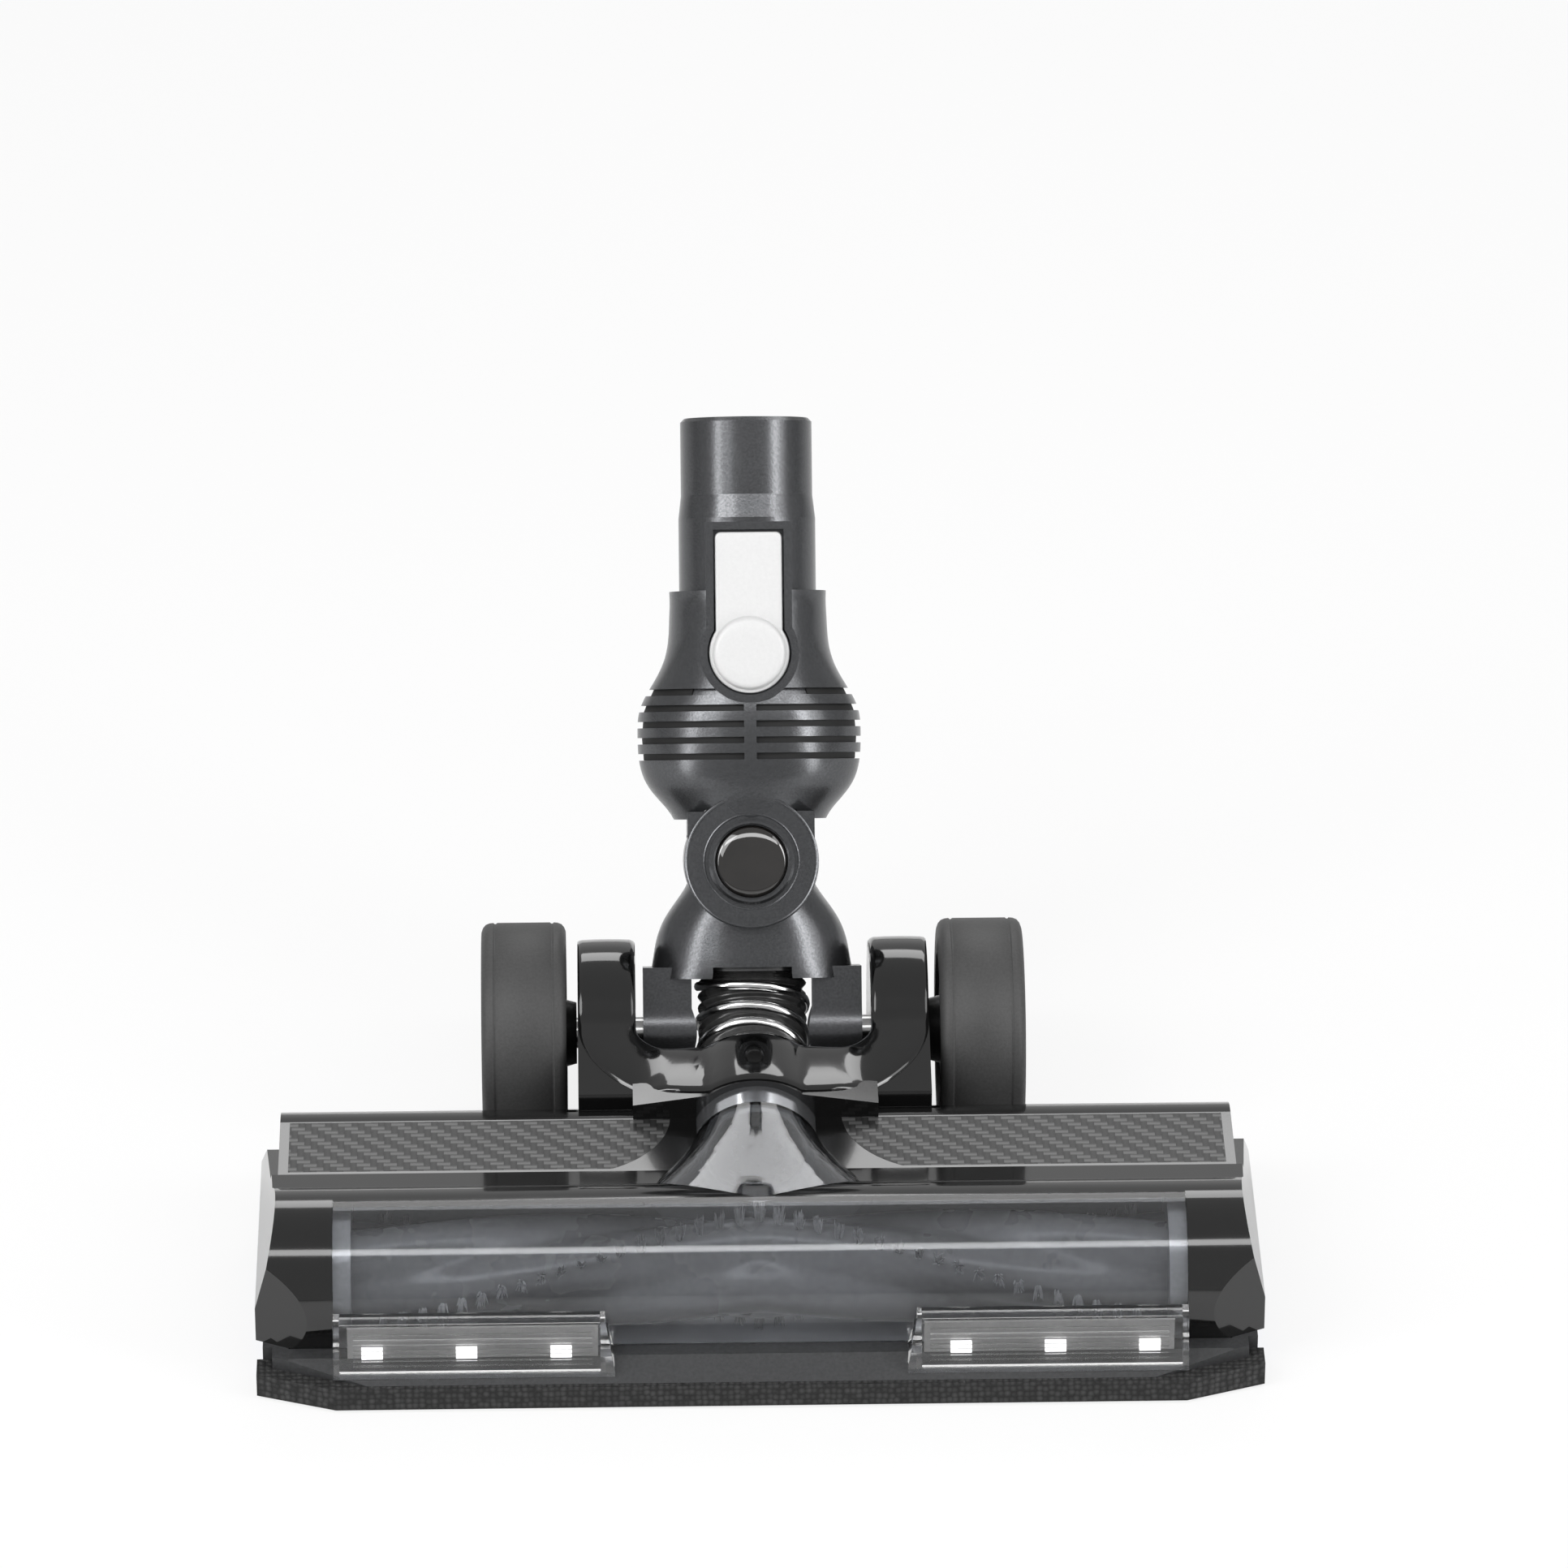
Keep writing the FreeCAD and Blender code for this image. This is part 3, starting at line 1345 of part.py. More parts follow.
# Upper neck: one hollow bulged shell, split into two halves
cheek_in = v.drum_half + v.cheek_gap
drum_room = v.drum_radius + v.drum_clear
shell_solid = fuse([
    loft("z", SHELL_SECTIONS),
    rod("y", ZERO, v.pivot_z, cheek_in, v.cheek_out, v.cheek_radius),
    rod("y", ZERO, v.pivot_z, -v.cheek_out, -cheek_in, v.cheek_radius),
    block((-v.cheek_radius + 1, v.cheek_radius - 1), (-v.cheek_out + 0.3, v.cheek_out - 0.3),
          (v.pivot_z, v.shell_1_station + 2)),
])
cavity_names = list(SHELL_SECTIONS)[1:9]
bezel_outer = v.pad_radius + v.button_gap + v.bezel_rim
bezel_side = v.paddle_half + v.button_gap + v.bezel_rim
shell_hollows = [
    rod("y", ZERO, v.pivot_z, -cheek_in, cheek_in, drum_room),
    rod("y", ZERO, v.pivot_z, -v.cheek_out - 1, v.cheek_out + 1,
        v.pivot_pin_radius + v.running_fit + 0.04),
    loft("z", cavity_names, v.neck_wall_side, v.neck_wall_front),
    rod("z", ZERO, ZERO, v.pivot_z, v.shell_2_station + 1, v.air_bore),
    rod("z", ZERO, ZERO, v.shell_8_station, v.tube_seat + 1, v.tube_bore),
    rod("z", ZERO, ZERO, v.tube_seat, v.neck_top + 1, v.tube_radius),
    rod("y", ZERO, v.pad_z, -v.pad_front - 5, -v.bezel_back, bezel_outer),
    block((-bezel_side, bezel_side), (-v.pad_front - 5, -v.bezel_back),
          (v.pad_z, v.neck_top + 1)),
    block((-v.cable_cover_half, v.cable_cover_half),
          (v.cable_cover_seat, v.cable_cover_back + 5),
          (v.cable_cover_low, v.cable_cover_top + 1)),
]
fin_roots = loft("z", SHELL_SECTIONS, v.slot_depth, v.slot_depth)
slot_side = v.shell_5_wide + 1
slot_back = v.shell_5_deep + 1
slot_blocks = []
for slot_number in range(5):
    slot_z = v.slot_first + v.slot_pitch * slot_number
    for name, side in SIDES:
        slot_blocks.append(block(
            span(side, v.slot_from, slot_side), (-slot_back, slot_back),
            (slot_z, slot_z + v.slot_height)))
shell_hollows.append(take_away(fuse(slot_blocks), [fin_roots]))
neck_shell = take_away(shell_solid, shell_hollows)
right_room = block((ZERO, v.shell_5_wide + 5),
                   (-v.pad_front - 9, v.cable_cover_back + 9),
                   (v.pivot_z - v.cheek_radius - 5, v.neck_top + 5))
left_half = take_away(neck_shell, [right_room])
right_half = doc.addObject("Part::Mirroring", "Mirror")
right_half.Source = left_half
right_half.Normal = FreeCAD.Vector(1, 0, 0)
finish(group([left_half]), "upper_neck_left", NECK)
finish(group([right_half]), "upper_neck_right", NECK)

# Wand tube with the straight end that plugs into the wand
tube = new_body("wand_tube", NECK)
revolve(tube, "XZ_Plane", [
    (v.tube_bore, v.tube_seat),
    (v.tube_radius, v.tube_seat),
    (v.tube_radius, v.tube_taper_from),
    (v.tube_tip_radius, v.tube_taper_to),
    (v.tube_tip_radius, v.tube_end - 1),
    (v.tube_tip_radius - 1, v.tube_end),
    (v.tube_bore, v.tube_end),
], "V_Axis")

# Bezel and rocking release button
bezel_solid = fuse([
    rod("y", ZERO, v.pad_z, -v.bezel_front, -v.bezel_back, bezel_outer),
    block((-bezel_side, bezel_side), (-v.bezel_front, -v.bezel_back),
          (v.pad_z, v.neck_top)),
    block((-bezel_side, bezel_side), (-v.bezel_front, 4 - v.tube_radius),
          (v.neck_top, v.bezel_top + v.bezel_rim)),
])
opening = v.paddle_half + v.button_gap
bezel_cut = take_away(bezel_solid, [
    rod("y", ZERO, v.pad_z, -v.bezel_front - 1, 1 - v.bezel_back,
        v.pad_radius + v.button_gap),
    block((-opening, opening), (-v.bezel_front - 1, 1 - v.bezel_back),
          (v.pad_z, v.neck_top)),
    block((-opening, opening), (-v.bezel_front - 1, -v.bezel_floor),
          (v.neck_top - 1, v.bezel_top)),
    rod("z", ZERO, ZERO, v.neck_top - 1, v.bezel_top + v.bezel_rim + 1, v.tube_radius),
    rod("x", -v.button_pivot_y, v.button_pivot_z, -opening - 1.3, opening + 1.3,
        v.button_pin_radius + v.running_fit),
])
finish(bezel_cut, "button_bezel", NECK)
button = fuse([
    rod("y", ZERO, v.pad_z, -v.pad_front, 1.2 - v.paddle_front, v.pad_radius),
    block((-v.paddle_half, v.paddle_half), (-v.paddle_front, -v.paddle_back),
          (v.pad_z, v.paddle_top)),
    rod("x", -v.button_pivot_y, v.button_pivot_z, -opening - 1.2, opening + 1.2,
        v.button_pin_radius),
])
finish(button, "release_button", NECK)

# Cable cover with its screw, and the contact block on the tube
cover_block = block((-v.cable_cover_half, v.cable_cover_half),
                    (v.cable_cover_seat, v.cable_cover_back),
                    (v.cable_cover_low, v.cable_cover_top))
cover_screw_z = v.cable_cover_low + 8
cable_cover = take_away(cover_block, [
    rod("z", ZERO, ZERO, v.cable_cover_low - 1, v.cable_cover_top + 1,
        v.shell_9_deep - 2),
    block((-3, 3), (v.cable_cover_back - 1.2, v.cable_cover_back + 1),
          (cover_screw_z + 6, v.cable_cover_top + 1)),
    rod("y", ZERO, cover_screw_z, v.cable_cover_back - 1.6, v.cable_cover_back + 1,
        v.screw_radius + v.screw_clear),
])
finish(cable_cover, "cable_cover", NECK)
screw_seat = v.cable_cover_back - 1.6
finish(group([rod("y", ZERO, cover_screw_z, screw_seat, screw_seat + v.screw_head,
                  v.screw_radius)]), "cover_screw", NECK)
contact_block = take_away(
    block((-v.contact_half, v.contact_half), (v.tube_radius - 3, v.contact_back),
          (v.contact_low, v.contact_top)),
    [rod("z", ZERO, ZERO, v.contact_low - 1, v.contact_top + 1, v.tube_radius)])
finish(contact_block, "contact_block", NECK)
pins = []
for place_number in (-1, 0, 1):
    across = as_size(5.0) * place_number
    pins.append(block((across - 1, across + 1), (v.contact_back, v.contact_back + 0.6),
                      (v.contact_low + 3, v.contact_top - 4)))
finish(group(pins), "contact_pins", NECK)

doc.recompute()

# Check every feature, then write one STEP file for each node
for item in doc.Objects:
    if "Invalid" in item.State or "Error" in item.State:
        raise RuntimeError("feature failed: " + item.Label)
os.makedirs("parts", exist_ok=True)
for node in nodes:
    if node.Shape.isNull() or not node.Shape.isValid():
        raise RuntimeError("bad shape: " + node.Label)
    node.Shape.exportStep("parts/%s.step" % node.Label)
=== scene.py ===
import json
import math

import bmesh
import bpy
from mathutils import Matrix, Vector
from mathutils.geometry import tessellate_polygon


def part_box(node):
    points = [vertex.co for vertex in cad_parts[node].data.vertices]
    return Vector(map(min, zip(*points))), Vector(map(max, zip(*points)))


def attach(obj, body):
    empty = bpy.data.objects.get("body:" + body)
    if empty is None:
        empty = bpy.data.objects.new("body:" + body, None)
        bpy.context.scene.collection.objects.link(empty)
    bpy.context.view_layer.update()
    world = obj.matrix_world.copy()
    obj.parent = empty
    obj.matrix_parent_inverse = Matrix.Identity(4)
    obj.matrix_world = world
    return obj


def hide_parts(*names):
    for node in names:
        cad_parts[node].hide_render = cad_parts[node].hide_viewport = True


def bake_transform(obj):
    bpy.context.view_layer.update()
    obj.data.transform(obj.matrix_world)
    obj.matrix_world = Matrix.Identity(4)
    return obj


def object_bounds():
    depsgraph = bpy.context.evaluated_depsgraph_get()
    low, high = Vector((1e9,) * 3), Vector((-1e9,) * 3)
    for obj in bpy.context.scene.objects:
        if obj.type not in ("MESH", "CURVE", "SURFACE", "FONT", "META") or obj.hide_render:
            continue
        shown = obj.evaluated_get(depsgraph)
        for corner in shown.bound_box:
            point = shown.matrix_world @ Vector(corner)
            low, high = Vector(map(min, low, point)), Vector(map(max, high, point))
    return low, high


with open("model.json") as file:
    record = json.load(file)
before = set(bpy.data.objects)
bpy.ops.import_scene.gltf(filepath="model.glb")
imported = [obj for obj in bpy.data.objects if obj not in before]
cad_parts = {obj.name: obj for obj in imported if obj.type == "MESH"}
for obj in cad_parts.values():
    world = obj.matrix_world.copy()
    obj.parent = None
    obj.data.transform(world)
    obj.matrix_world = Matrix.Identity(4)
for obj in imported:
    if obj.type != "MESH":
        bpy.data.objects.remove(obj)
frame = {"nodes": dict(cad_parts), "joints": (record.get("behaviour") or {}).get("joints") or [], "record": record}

cad_low, cad_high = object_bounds()
scene = bpy.context.scene
nodes = frame["nodes"]

# Frames: the front lip is y = 0 in head sizes, and the neck leans back from the axle
LEAN = math.radians(31)
AXLE = Vector(next(joint["pos_m"] for joint in frame["joints"]
                   if joint["name"] == "neck_tilt"))
LIP = Vector((0, cad_low.y, 0))
HEAD_FRAME = Matrix.Translation(LIP)
NECK_FRAME = Matrix.Translation(AXLE) @ Matrix.Rotation(-LEAN, 4, "X")
SIDES = (("left", -1), ("right", 1))


def mm(*sizes):
    """Millimetres as a vector in metres."""
    return Vector(sizes) * 0.001


# Shared node groups and materials


class Tree:
    """Short calls that add and join the nodes of one tree."""

    def __init__(self, tree):
        self.tree = tree
        tree.nodes.clear()

    def put(self, socket, value):
        """Join another node's socket, or set a constant."""
        if isinstance(value, bpy.types.NodeSocket):
            self.tree.links.new(value, socket)
        else:
            socket.default_value = value

    def add(self, kind, sockets=None, **settings):
        """New node with its settings and its input sockets."""
        made = self.tree.nodes.new(kind)
        for name, value in settings.items():
            setattr(made, name, value)
        for key, value in (sockets or {}).items():
            self.put(made.inputs[key], value)
        return made

    def fill(self, made, **values):
        """Input sockets of a node by name, with _ for a space."""
        for name, value in values.items():
            self.put(made.inputs[name.replace("_", " ")], value)
        return made

    def math(self, operation, first, second=0.0):
        """Result of one sum."""
        made = self.add("ShaderNodeMath", {0: first, 1: second}, operation=operation)
        return made.outputs[0]

    def blend(self, factor, first, second):
        """Colour between two, by a factor."""
        made = self.add("ShaderNodeMix", {0: factor, 6: first, 7: second},
                        data_type="RGBA")
        return made.outputs[2]

    def spread(self, value, low, high):
        """A 0 to 1 value spread between two others."""
        made = self.add("ShaderNodeMapRange",
                        {"Value": value, "To Min": low, "To Max": high})
        return made.outputs["Result"]

    def bump(self, strength, distance, height):
        """Normal of a height pattern."""
        made = self.add("ShaderNodeBump", {
            "Strength": strength, "Distance": distance, "Height": height})
        return made.outputs[0]

    def mix_shaders(self, share, first, second):
        """Node that mixes two shader nodes, by the second one's share."""
        return self.add("ShaderNodeMixShader", {
            0: share, 1: first.outputs[0], 2: second.outputs[0]})


def shader_group(name, inputs, outputs):
    """Empty shader node group with named sockets, and its Tree."""
    group = bpy.data.node_groups.new(name, "ShaderNodeTree")
    for label, number in inputs.items():
        socket = group.interface.new_socket(
            label, in_out="INPUT", socket_type="NodeSocketFloat")
        socket.default_value = number
    for label, kind in outputs.items():
        group.interface.new_socket(label, in_out="OUTPUT",
                                   socket_type="NodeSocket" + kind)
    tree = Tree(group)
    source = tree.add("NodeGroupInput").outputs
    drain = tree.add("NodeGroupOutput")
    place = tree.add("ShaderNodeTexCoord").outputs["Object"]
    return group, tree, source, drain, place


def moulded_grain_group():
    """Spark-eroded mould texture: fine grain, and slow patches of handling."""
    group, tree, source, drain, place = shader_group(
        "Moulded Grain", {"Grain Scale": 900, "Grain Height": 0.2, "Patch Scale": 25},
        {"Grain": "Float", "Patches": "Float", "Normal": "Vector"})
    grain = tree.add("ShaderNodeTexNoise", {
        "Vector": place, "Scale": source["Grain Scale"], "Detail": 3.0}).outputs[0]
    patches = tree.add("ShaderNodeTexNoise", {
        "Vector": place, "Scale": source["Patch Scale"], "Detail": 4.0,
        "Roughness": 0.6}).outputs[0]
    tree.fill(drain, Grain=grain, Patches=tree.spread(patches, -0.4, 1.4),
              Normal=tree.bump(source["Grain Height"], 0.0002, grain))
    return group


def twill_group():
    """Two over, two under cloth seen through lacquer, with painted sheen: threads on top and the crowns of threads
    painted lighter.
    """
    group, tree, source, drain, place = shader_group(
        "Twill Weave", {"Thread": 0.0018}, {"Shade": "Float", "Normal": "Vector"})
    axes = tree.add("ShaderNodeSeparateXYZ", {0: place}).outputs
    across = tree.math("DIVIDE", axes[0], source["Thread"])
    along = tree.math("DIVIDE", axes[1], source["Thread"])
    # Four threads to a repeat, each row a step further on, and two of them over
    steps = tree.math("ADD", tree.math("FLOOR", across), tree.math("FLOOR", along))
    over = tree.math("LESS_THAN", tree.math("FLOORED_MODULO", steps, 4.0), 1.5)
    crowns = []
    for run in (across, along):
        turn = tree.math("MULTIPLY", tree.math("FRACT", run), math.pi)
        crowns.append(tree.math("SINE", turn))
    crown = tree.add("ShaderNodeMix",
                     {0: over, 2: crowns[0], 3: crowns[1]}).outputs[0]
    # Painted sheen: the threads on top and the crown of each thread are painted lighter, as light catches them
    shade = tree.math("MULTIPLY", tree.spread(over, 0.25, 1.0),
                      tree.spread(crown, 0.45, 1.0))
    tree.fill(drain, Shade=shade, Normal=tree.bump(0.25, 0.0002, crown))
    return group


def pebble_group():
    """Rows of small raised pips, as on a bumper strip."""
    group, tree, source, drain, place = shader_group(
        "Pebbled Rubber", {"Pip Scale": 520}, {"Height": "Float", "Normal": "Vector"})
    cells = tree.add("ShaderNodeTexVoronoi", {
        "Vector": place, "Scale": source["Pip Scale"], "Randomness": 0.35})
    height = tree.spread(cells.outputs["Distance"], 1.0, -0.6)
    tree.fill(drain, Height=height, Normal=tree.bump(0.8, 0.0006, height))
    return group


def drawn_streaks_group():
    """Fine streaks along one axis, as turning or drawing leaves on metal."""
    group, tree, source, drain, place = shader_group(
        "Drawn Streaks", {"Along X": 40, "Across": 2500},
        {"Streaks": "Float", "Normal": "Vector"})
    stretch = tree.add("ShaderNodeCombineXYZ", {
        0: source["Along X"], 1: source["Across"], 2: source["Across"]})
    fitted = tree.add("ShaderNodeVectorMath", {0: place, 1: stretch.outputs[0]},
                      operation="MULTIPLY")
    streaks = tree.add("ShaderNodeTexNoise", {
        "Vector": fitted.outputs[0], "Scale": 1.0, "Detail": 2.0}).outputs[0]
    tree.fill(drain, Streaks=streaks, Normal=tree.bump(0.15, 0.0001, streaks))
    return group


GRAIN = moulded_grain_group()
TWILL = twill_group()
PEBBLE = pebble_group()
STREAKS = drawn_streaks_group()
DISPLAY_GAMMA = 2.2


def grey(level, tint=(1.0, 1.0, 1.0)):
    """Colour of a display level from 0 to 1, with a slight tint."""
    return tuple((level * share) ** DISPLAY_GAMMA for share in tint) + (1.0,)


def new_material(name):
    """Material with a Principled shader, its Tree and the shader."""
    material = bpy.data.materials.new(name)
    material.use_nodes = True
    tree = Tree(material.node_tree)
    shader = tree.add("ShaderNodeBsdfPrincipled")
    drain = tree.add("ShaderNodeOutputMaterial")
    tree.fill(drain, Surface=shader.outputs["BSDF"])
    return material, tree, shader


def use_group(tree, group, **sockets):
    """Outputs of a shared group placed in a material."""
    made = tree.add("ShaderNodeGroup", node_tree=group)
    return tree.fill(made, **sockets).outputs


def moulded(name, dark, light, rough, grain_scale=900, grain_height=0.2,
            patch_scale=25, **constants):
    """Moulded plastic or rubber: grain in its colour, handling in its gloss."""
    material, tree, shader = new_material(name)
    pattern = use_group(tree, GRAIN, Grain_Scale=grain_scale,
                        Grain_Height=grain_height, Patch_Scale=patch_scale)
    tree.fill(shader, Base_Color=tree.blend(pattern["Grain"], dark, light),
              Roughness=tree.spread(pattern["Patches"], *rough),
              Normal=pattern["Normal"], **constants)
    return material


def metal(name, dark, light, rough, along=40, across=2500):
    """Plated or turned metal with drawn streaks."""
    material, tree, shader = new_material(name)
    pattern = use_group(tree, STREAKS, Along_X=along, Across=across)
    tree.fill(shader, Base_Color=tree.blend(pattern["Streaks"], dark, light),
              Roughness=tree.spread(pattern["Streaks"], *rough),
              Normal=pattern["Normal"], Metallic=1.0)
    return material


def clear(name, dark, light, rough):
    """Clear moulded plastic with faint moulding waves and handling marks."""
    return moulded(name, dark, light, rough, 60, 0.03, 40,
                   Transmission_Weight=1.0, IOR=1.46)


def lacquered_weave(name):
    """Dark twill under a thin clear coat, its Shade a painted sheen on the threads."""
    material, tree, shader = new_material(name)
    pattern = use_group(tree, TWILL, Thread=0.0017)
    # Painted sheen from the weave's Shade lightens the base colour
    tree.fill(shader, Base_Color=tree.blend(pattern["Shade"], grey(0.05), grey(0.3)),
              Roughness=tree.spread(pattern["Shade"], 0.5, 0.3),
              Normal=pattern["Normal"], Coat_Weight=0.12, Coat_Roughness=0.08,
              Specular_IOR_Level=0.3)
    return material


def pebbled_rubber(name):
    """Soft strip whose pips are paler and smoother than the gaps; the gaps are painted darker as painted shade."""
    material, tree, shader = new_material(name)
    pattern = use_group(tree, PEBBLE, Pip_Scale=620)
    # Painted shade: base colour darker down in the gaps between the pips
    tree.fill(shader, Base_Color=tree.blend(pattern["Height"], grey(0.08), grey(0.24)),
              Roughness=tree.spread(pattern["Height"], 0.8, 0.5),
              Normal=pattern["Normal"])
    return material


def pile_fibre(name, deep, pale, scale):
    """Dyed fibre: shade changes from fibre to fibre and in brushed patches."""
    material, tree, shader = new_material(name)
    pattern = use_group(tree, GRAIN, Grain_Scale=scale, Grain_Height=0.1,
                        Patch_Scale=18)
    share = tree.math("MULTIPLY", pattern["Grain"], pattern["Patches"])
    tree.fill(shader, Base_Color=tree.blend(tree.spread(share, -0.1, 1.5), deep, pale),
              Roughness=tree.spread(pattern["Grain"], 0.75, 0.95),
              Sheen_Weight=0.35, Sheen_Roughness=0.4)
    return material


def glowing(name, colour, strength):
    """Lamp face that is a little unevenly lit."""
    material = moulded(name, colour, grey(1.0), (0.3, 0.4), 600, 0.05,
                       Emission_Strength=strength)
    shader = next(made for made in material.node_tree.nodes
                  if made.type == "BSDF_PRINCIPLED")
    source = shader.inputs["Base Color"].links[0].from_socket
    material.node_tree.links.new(source, shader.inputs["Emission Color"])
    return material


COOL = (0.97, 0.98, 1.0)
WARM = (1.0, 0.93, 0.88)
FINISHES = {
    "dark_shell": moulded("matte dark shell", grey(0.17, COOL), grey(0.27, COOL),
                          (0.42, 0.55), 1100, 0.25),
    "gloss_black": moulded("gloss black shell", grey(0.05), grey(0.075),
                           (0.06, 0.16), 300, 0.02, 30, Coat_Weight=0.5,
                           Coat_Roughness=0.04),
    "carbon_weave": lacquered_weave("lacquered twill inlay"),
    "bumper_rubber": pebbled_rubber("pebbled bumper"),
    "smoke_clear": clear("smoked clear cover", grey(0.90, COOL), grey(0.94, COOL),
                         (0.02, 0.05)),
    "lamp_clear": clear("clear lamp lens", grey(0.93), grey(0.97), (0.02, 0.08)),
    "circuit_board": moulded("coated lamp board", grey(0.5), grey(0.6),
                             (0.3, 0.45)),
    "led_white": glowing("white lamp face", grey(0.95), 1.6),
    "blue_felt": pile_fibre("blue felt", (0.003, 0.045, 0.50, 1),
                            (0.10, 0.26, 0.86, 1), 2200),
    "silver_trim": moulded("silver duct ring", grey(0.84, COOL), grey(0.9, COOL),
                           (0.1, 0.2), 1500, 0.03, Metallic=0.95),
    "hose_vinyl": moulded("dark hose wall", grey(0.16), grey(0.26), (0.12, 0.3),
                          500, 0.1),
    "motor_steel": metal("plated motor can", grey(0.6), grey(0.7), (0.3, 0.4)),
    "belt_rubber": moulded("belt rubber", grey(0.1), grey(0.16), (0.6, 0.75)),
    "bearing_steel": metal("bearing steel", grey(0.65), grey(0.75), (0.2, 0.3)),
    "screw_steel": metal("blackened screw steel", grey(0.22), grey(0.36),
                         (0.28, 0.42), 900, 900),
    "axle_steel": metal("ground axle steel", grey(0.66), grey(0.78), (0.18, 0.3)),
    "roll_grey": moulded("satin roll grey", grey(0.32), grey(0.42), (0.22, 0.34),
                         600, 0.1),
    "bristle": pile_fibre("grey bristle", grey(0.42), grey(0.8), 900),
    "disc_silver": moulded("silver end disc", grey(0.5), grey(0.6), (0.25, 0.35),
                           Metallic=0.6),
    "pulley_plastic": moulded("pulley plastic", grey(0.12), grey(0.2), (0.4, 0.5)),
    "wheel_plastic": moulded("satin wheel plastic", grey(0.12), grey(0.19),
                             (0.3, 0.4)),
    "tyre_rubber": moulded("matte tyre rubber", grey(0.21), grey(0.29),
                           (0.5, 0.65), 1500, 0.25),
    "roller_plastic": moulded("roller plastic", grey(0.11), grey(0.18),
                              (0.35, 0.5)),
    "gunmetal": moulded("gunmetal neck", grey(0.27, COOL), grey(0.42, COOL),
                        (0.2, 0.3), 1900, 0.1, Metallic=0.85),
    "pivot_gloss": moulded("brown-black pivot dome", grey(0.08, WARM),
                           grey(0.15, WARM), (0.03, 0.08), 120, 0.02,
                           Coat_Weight=1.0, Coat_Roughness=0.03),
    "contact_grey": moulded("light grey contact block", grey(0.6), grey(0.7),
                            (0.4, 0.5)),
    "contact_metal": metal("gold-plated contact", (0.75, 0.5, 0.16, 1),
                           (0.85, 0.62, 0.25, 1), (0.2, 0.3)),
    "white_button": moulded("white satin button", grey(0.82), grey(0.86),
                            (0.28, 0.36), 1200, 0.03),
}
BRIGHT_WIRE = metal("bright hose wire", grey(0.78), grey(0.9), (0.1, 0.2), 300, 900)
# Painted shade: near-black finish for the bands that stand in for the shadow inside the grille slots
SLOT_SHADE_PAINT = moulded("painted slot shade", grey(0.04), grey(0.07), (0.6, 0.75))
BLANK_STICKER = moulded("blank white sticker", grey(0.88), grey(0.93), (0.35, 0.5),
                        500, 0.05)

for part in frame["record"]["subparts"]:
    for place in nodes[part["node"]].material_slots:
        place.material = FINISHES[part["material_slot"]]


# Making pieces
MERGE_DISTANCE = 1e-6


def add_piece(name, mesh, body, slot_name, replaced=(), material=None):
    """Object of a finished mesh, riding a body and dressed from a slot."""
    if not mesh.materials:
        mesh.materials.append(material or FINISHES[slot_name])
    piece = bpy.data.objects.new(name, mesh)
    scene.collection.objects.link(piece)
    if body:
        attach(piece, body)
    if replaced:
        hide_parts(*replaced)
    return piece


def finished_mesh(shape, name, matrix=None, crease=40):
    """Mesh of a bmesh in its place, smooth except at its creases."""
    if matrix is not None:
        shape.transform(matrix)
    bmesh.ops.remove_doubles(shape, verts=shape.verts, dist=MERGE_DISTANCE)
    bmesh.ops.recalc_face_normals(shape, faces=shape.faces)
    mesh = bpy.data.meshes.new(name)
    shape.to_mesh(mesh)
    shape.free()
    mesh.shade_smooth()
    mesh.set_sharp_from_angle(angle=math.radians(crease))
    return mesh


def add_shape(name, shape, matrix, body, slot_name, replaced=(), material=None,
              crease=40):
    """Piece of a bmesh that is still in its frame's sizes."""
    mesh = finished_mesh(shape, name, matrix, crease)
    return add_piece(name, mesh, body, slot_name, replaced, material)


def full_turn(steps):
    """Angles of even steps once round."""
    return [2 * math.pi * step / steps for step in range(steps)]


def corner_round(centre_x, centre_y, radius, start):
    """Quarter of a circle as seven points, from a start angle in degrees."""
    arc = []
    for step in range(7):
        angle = math.radians(start + 15 * step)
        arc.append((centre_x + radius * math.cos(angle),
                    centre_y + radius * math.sin(angle)))
    return arc


def add_row(shape, spots):
    """Vertices at (x, y, z) places in mm."""
    return [shape.verts.new(mm(*spot)) for spot in spots]


def grid_faces(shape, rows, close_rows=False, close_columns=True):
    """Quads between rows of vertices."""
    count = len(rows)
    size = len(rows[0])
    for row in range(count if close_rows else count - 1):
        after = rows[(row + 1) % count]
        for column in range(size if close_columns else size - 1):
            beside = (column + 1) % size
            shape.faces.new((rows[row][column], rows[row][beside],
                             after[beside], after[column]))


def capped_faces(shape, rows):
    """Quads between rows of vertices, and a face on each end."""
    grid_faces(shape, rows)
    for row in (rows[0], rows[-1]):
        shape.faces.new(row)


def plate(shape, outline, low, high):
    """Closed plate of an (x, y) outline between two heights, in mm."""
    capped_faces(shape, [add_row(shape, [(x, y, z) for x, y in outline])
                         for z in (low, high)])


def lathe(shape, profile, axis, side=1, steps=64, centre=(0, 0, 0)):
    """Turn (along, radius) points in mm about an axis, on one side of a centre."""
    first, second = [key for key in range(3) if key != axis]
    rows = []
    for along, radius in profile:
        spots = []
        for turn in full_turn(steps):
            spot = list(centre)
            spot[axis] += along * side
            spot[first] += radius * math.cos(turn)
            spot[second] += radius * math.sin(turn)
            spots.append(spot)
        rows.append(add_row(shape, spots))
    grid_faces(shape, rows, close_rows=profile[0][1] > 0 and profile[-1][1] > 0)


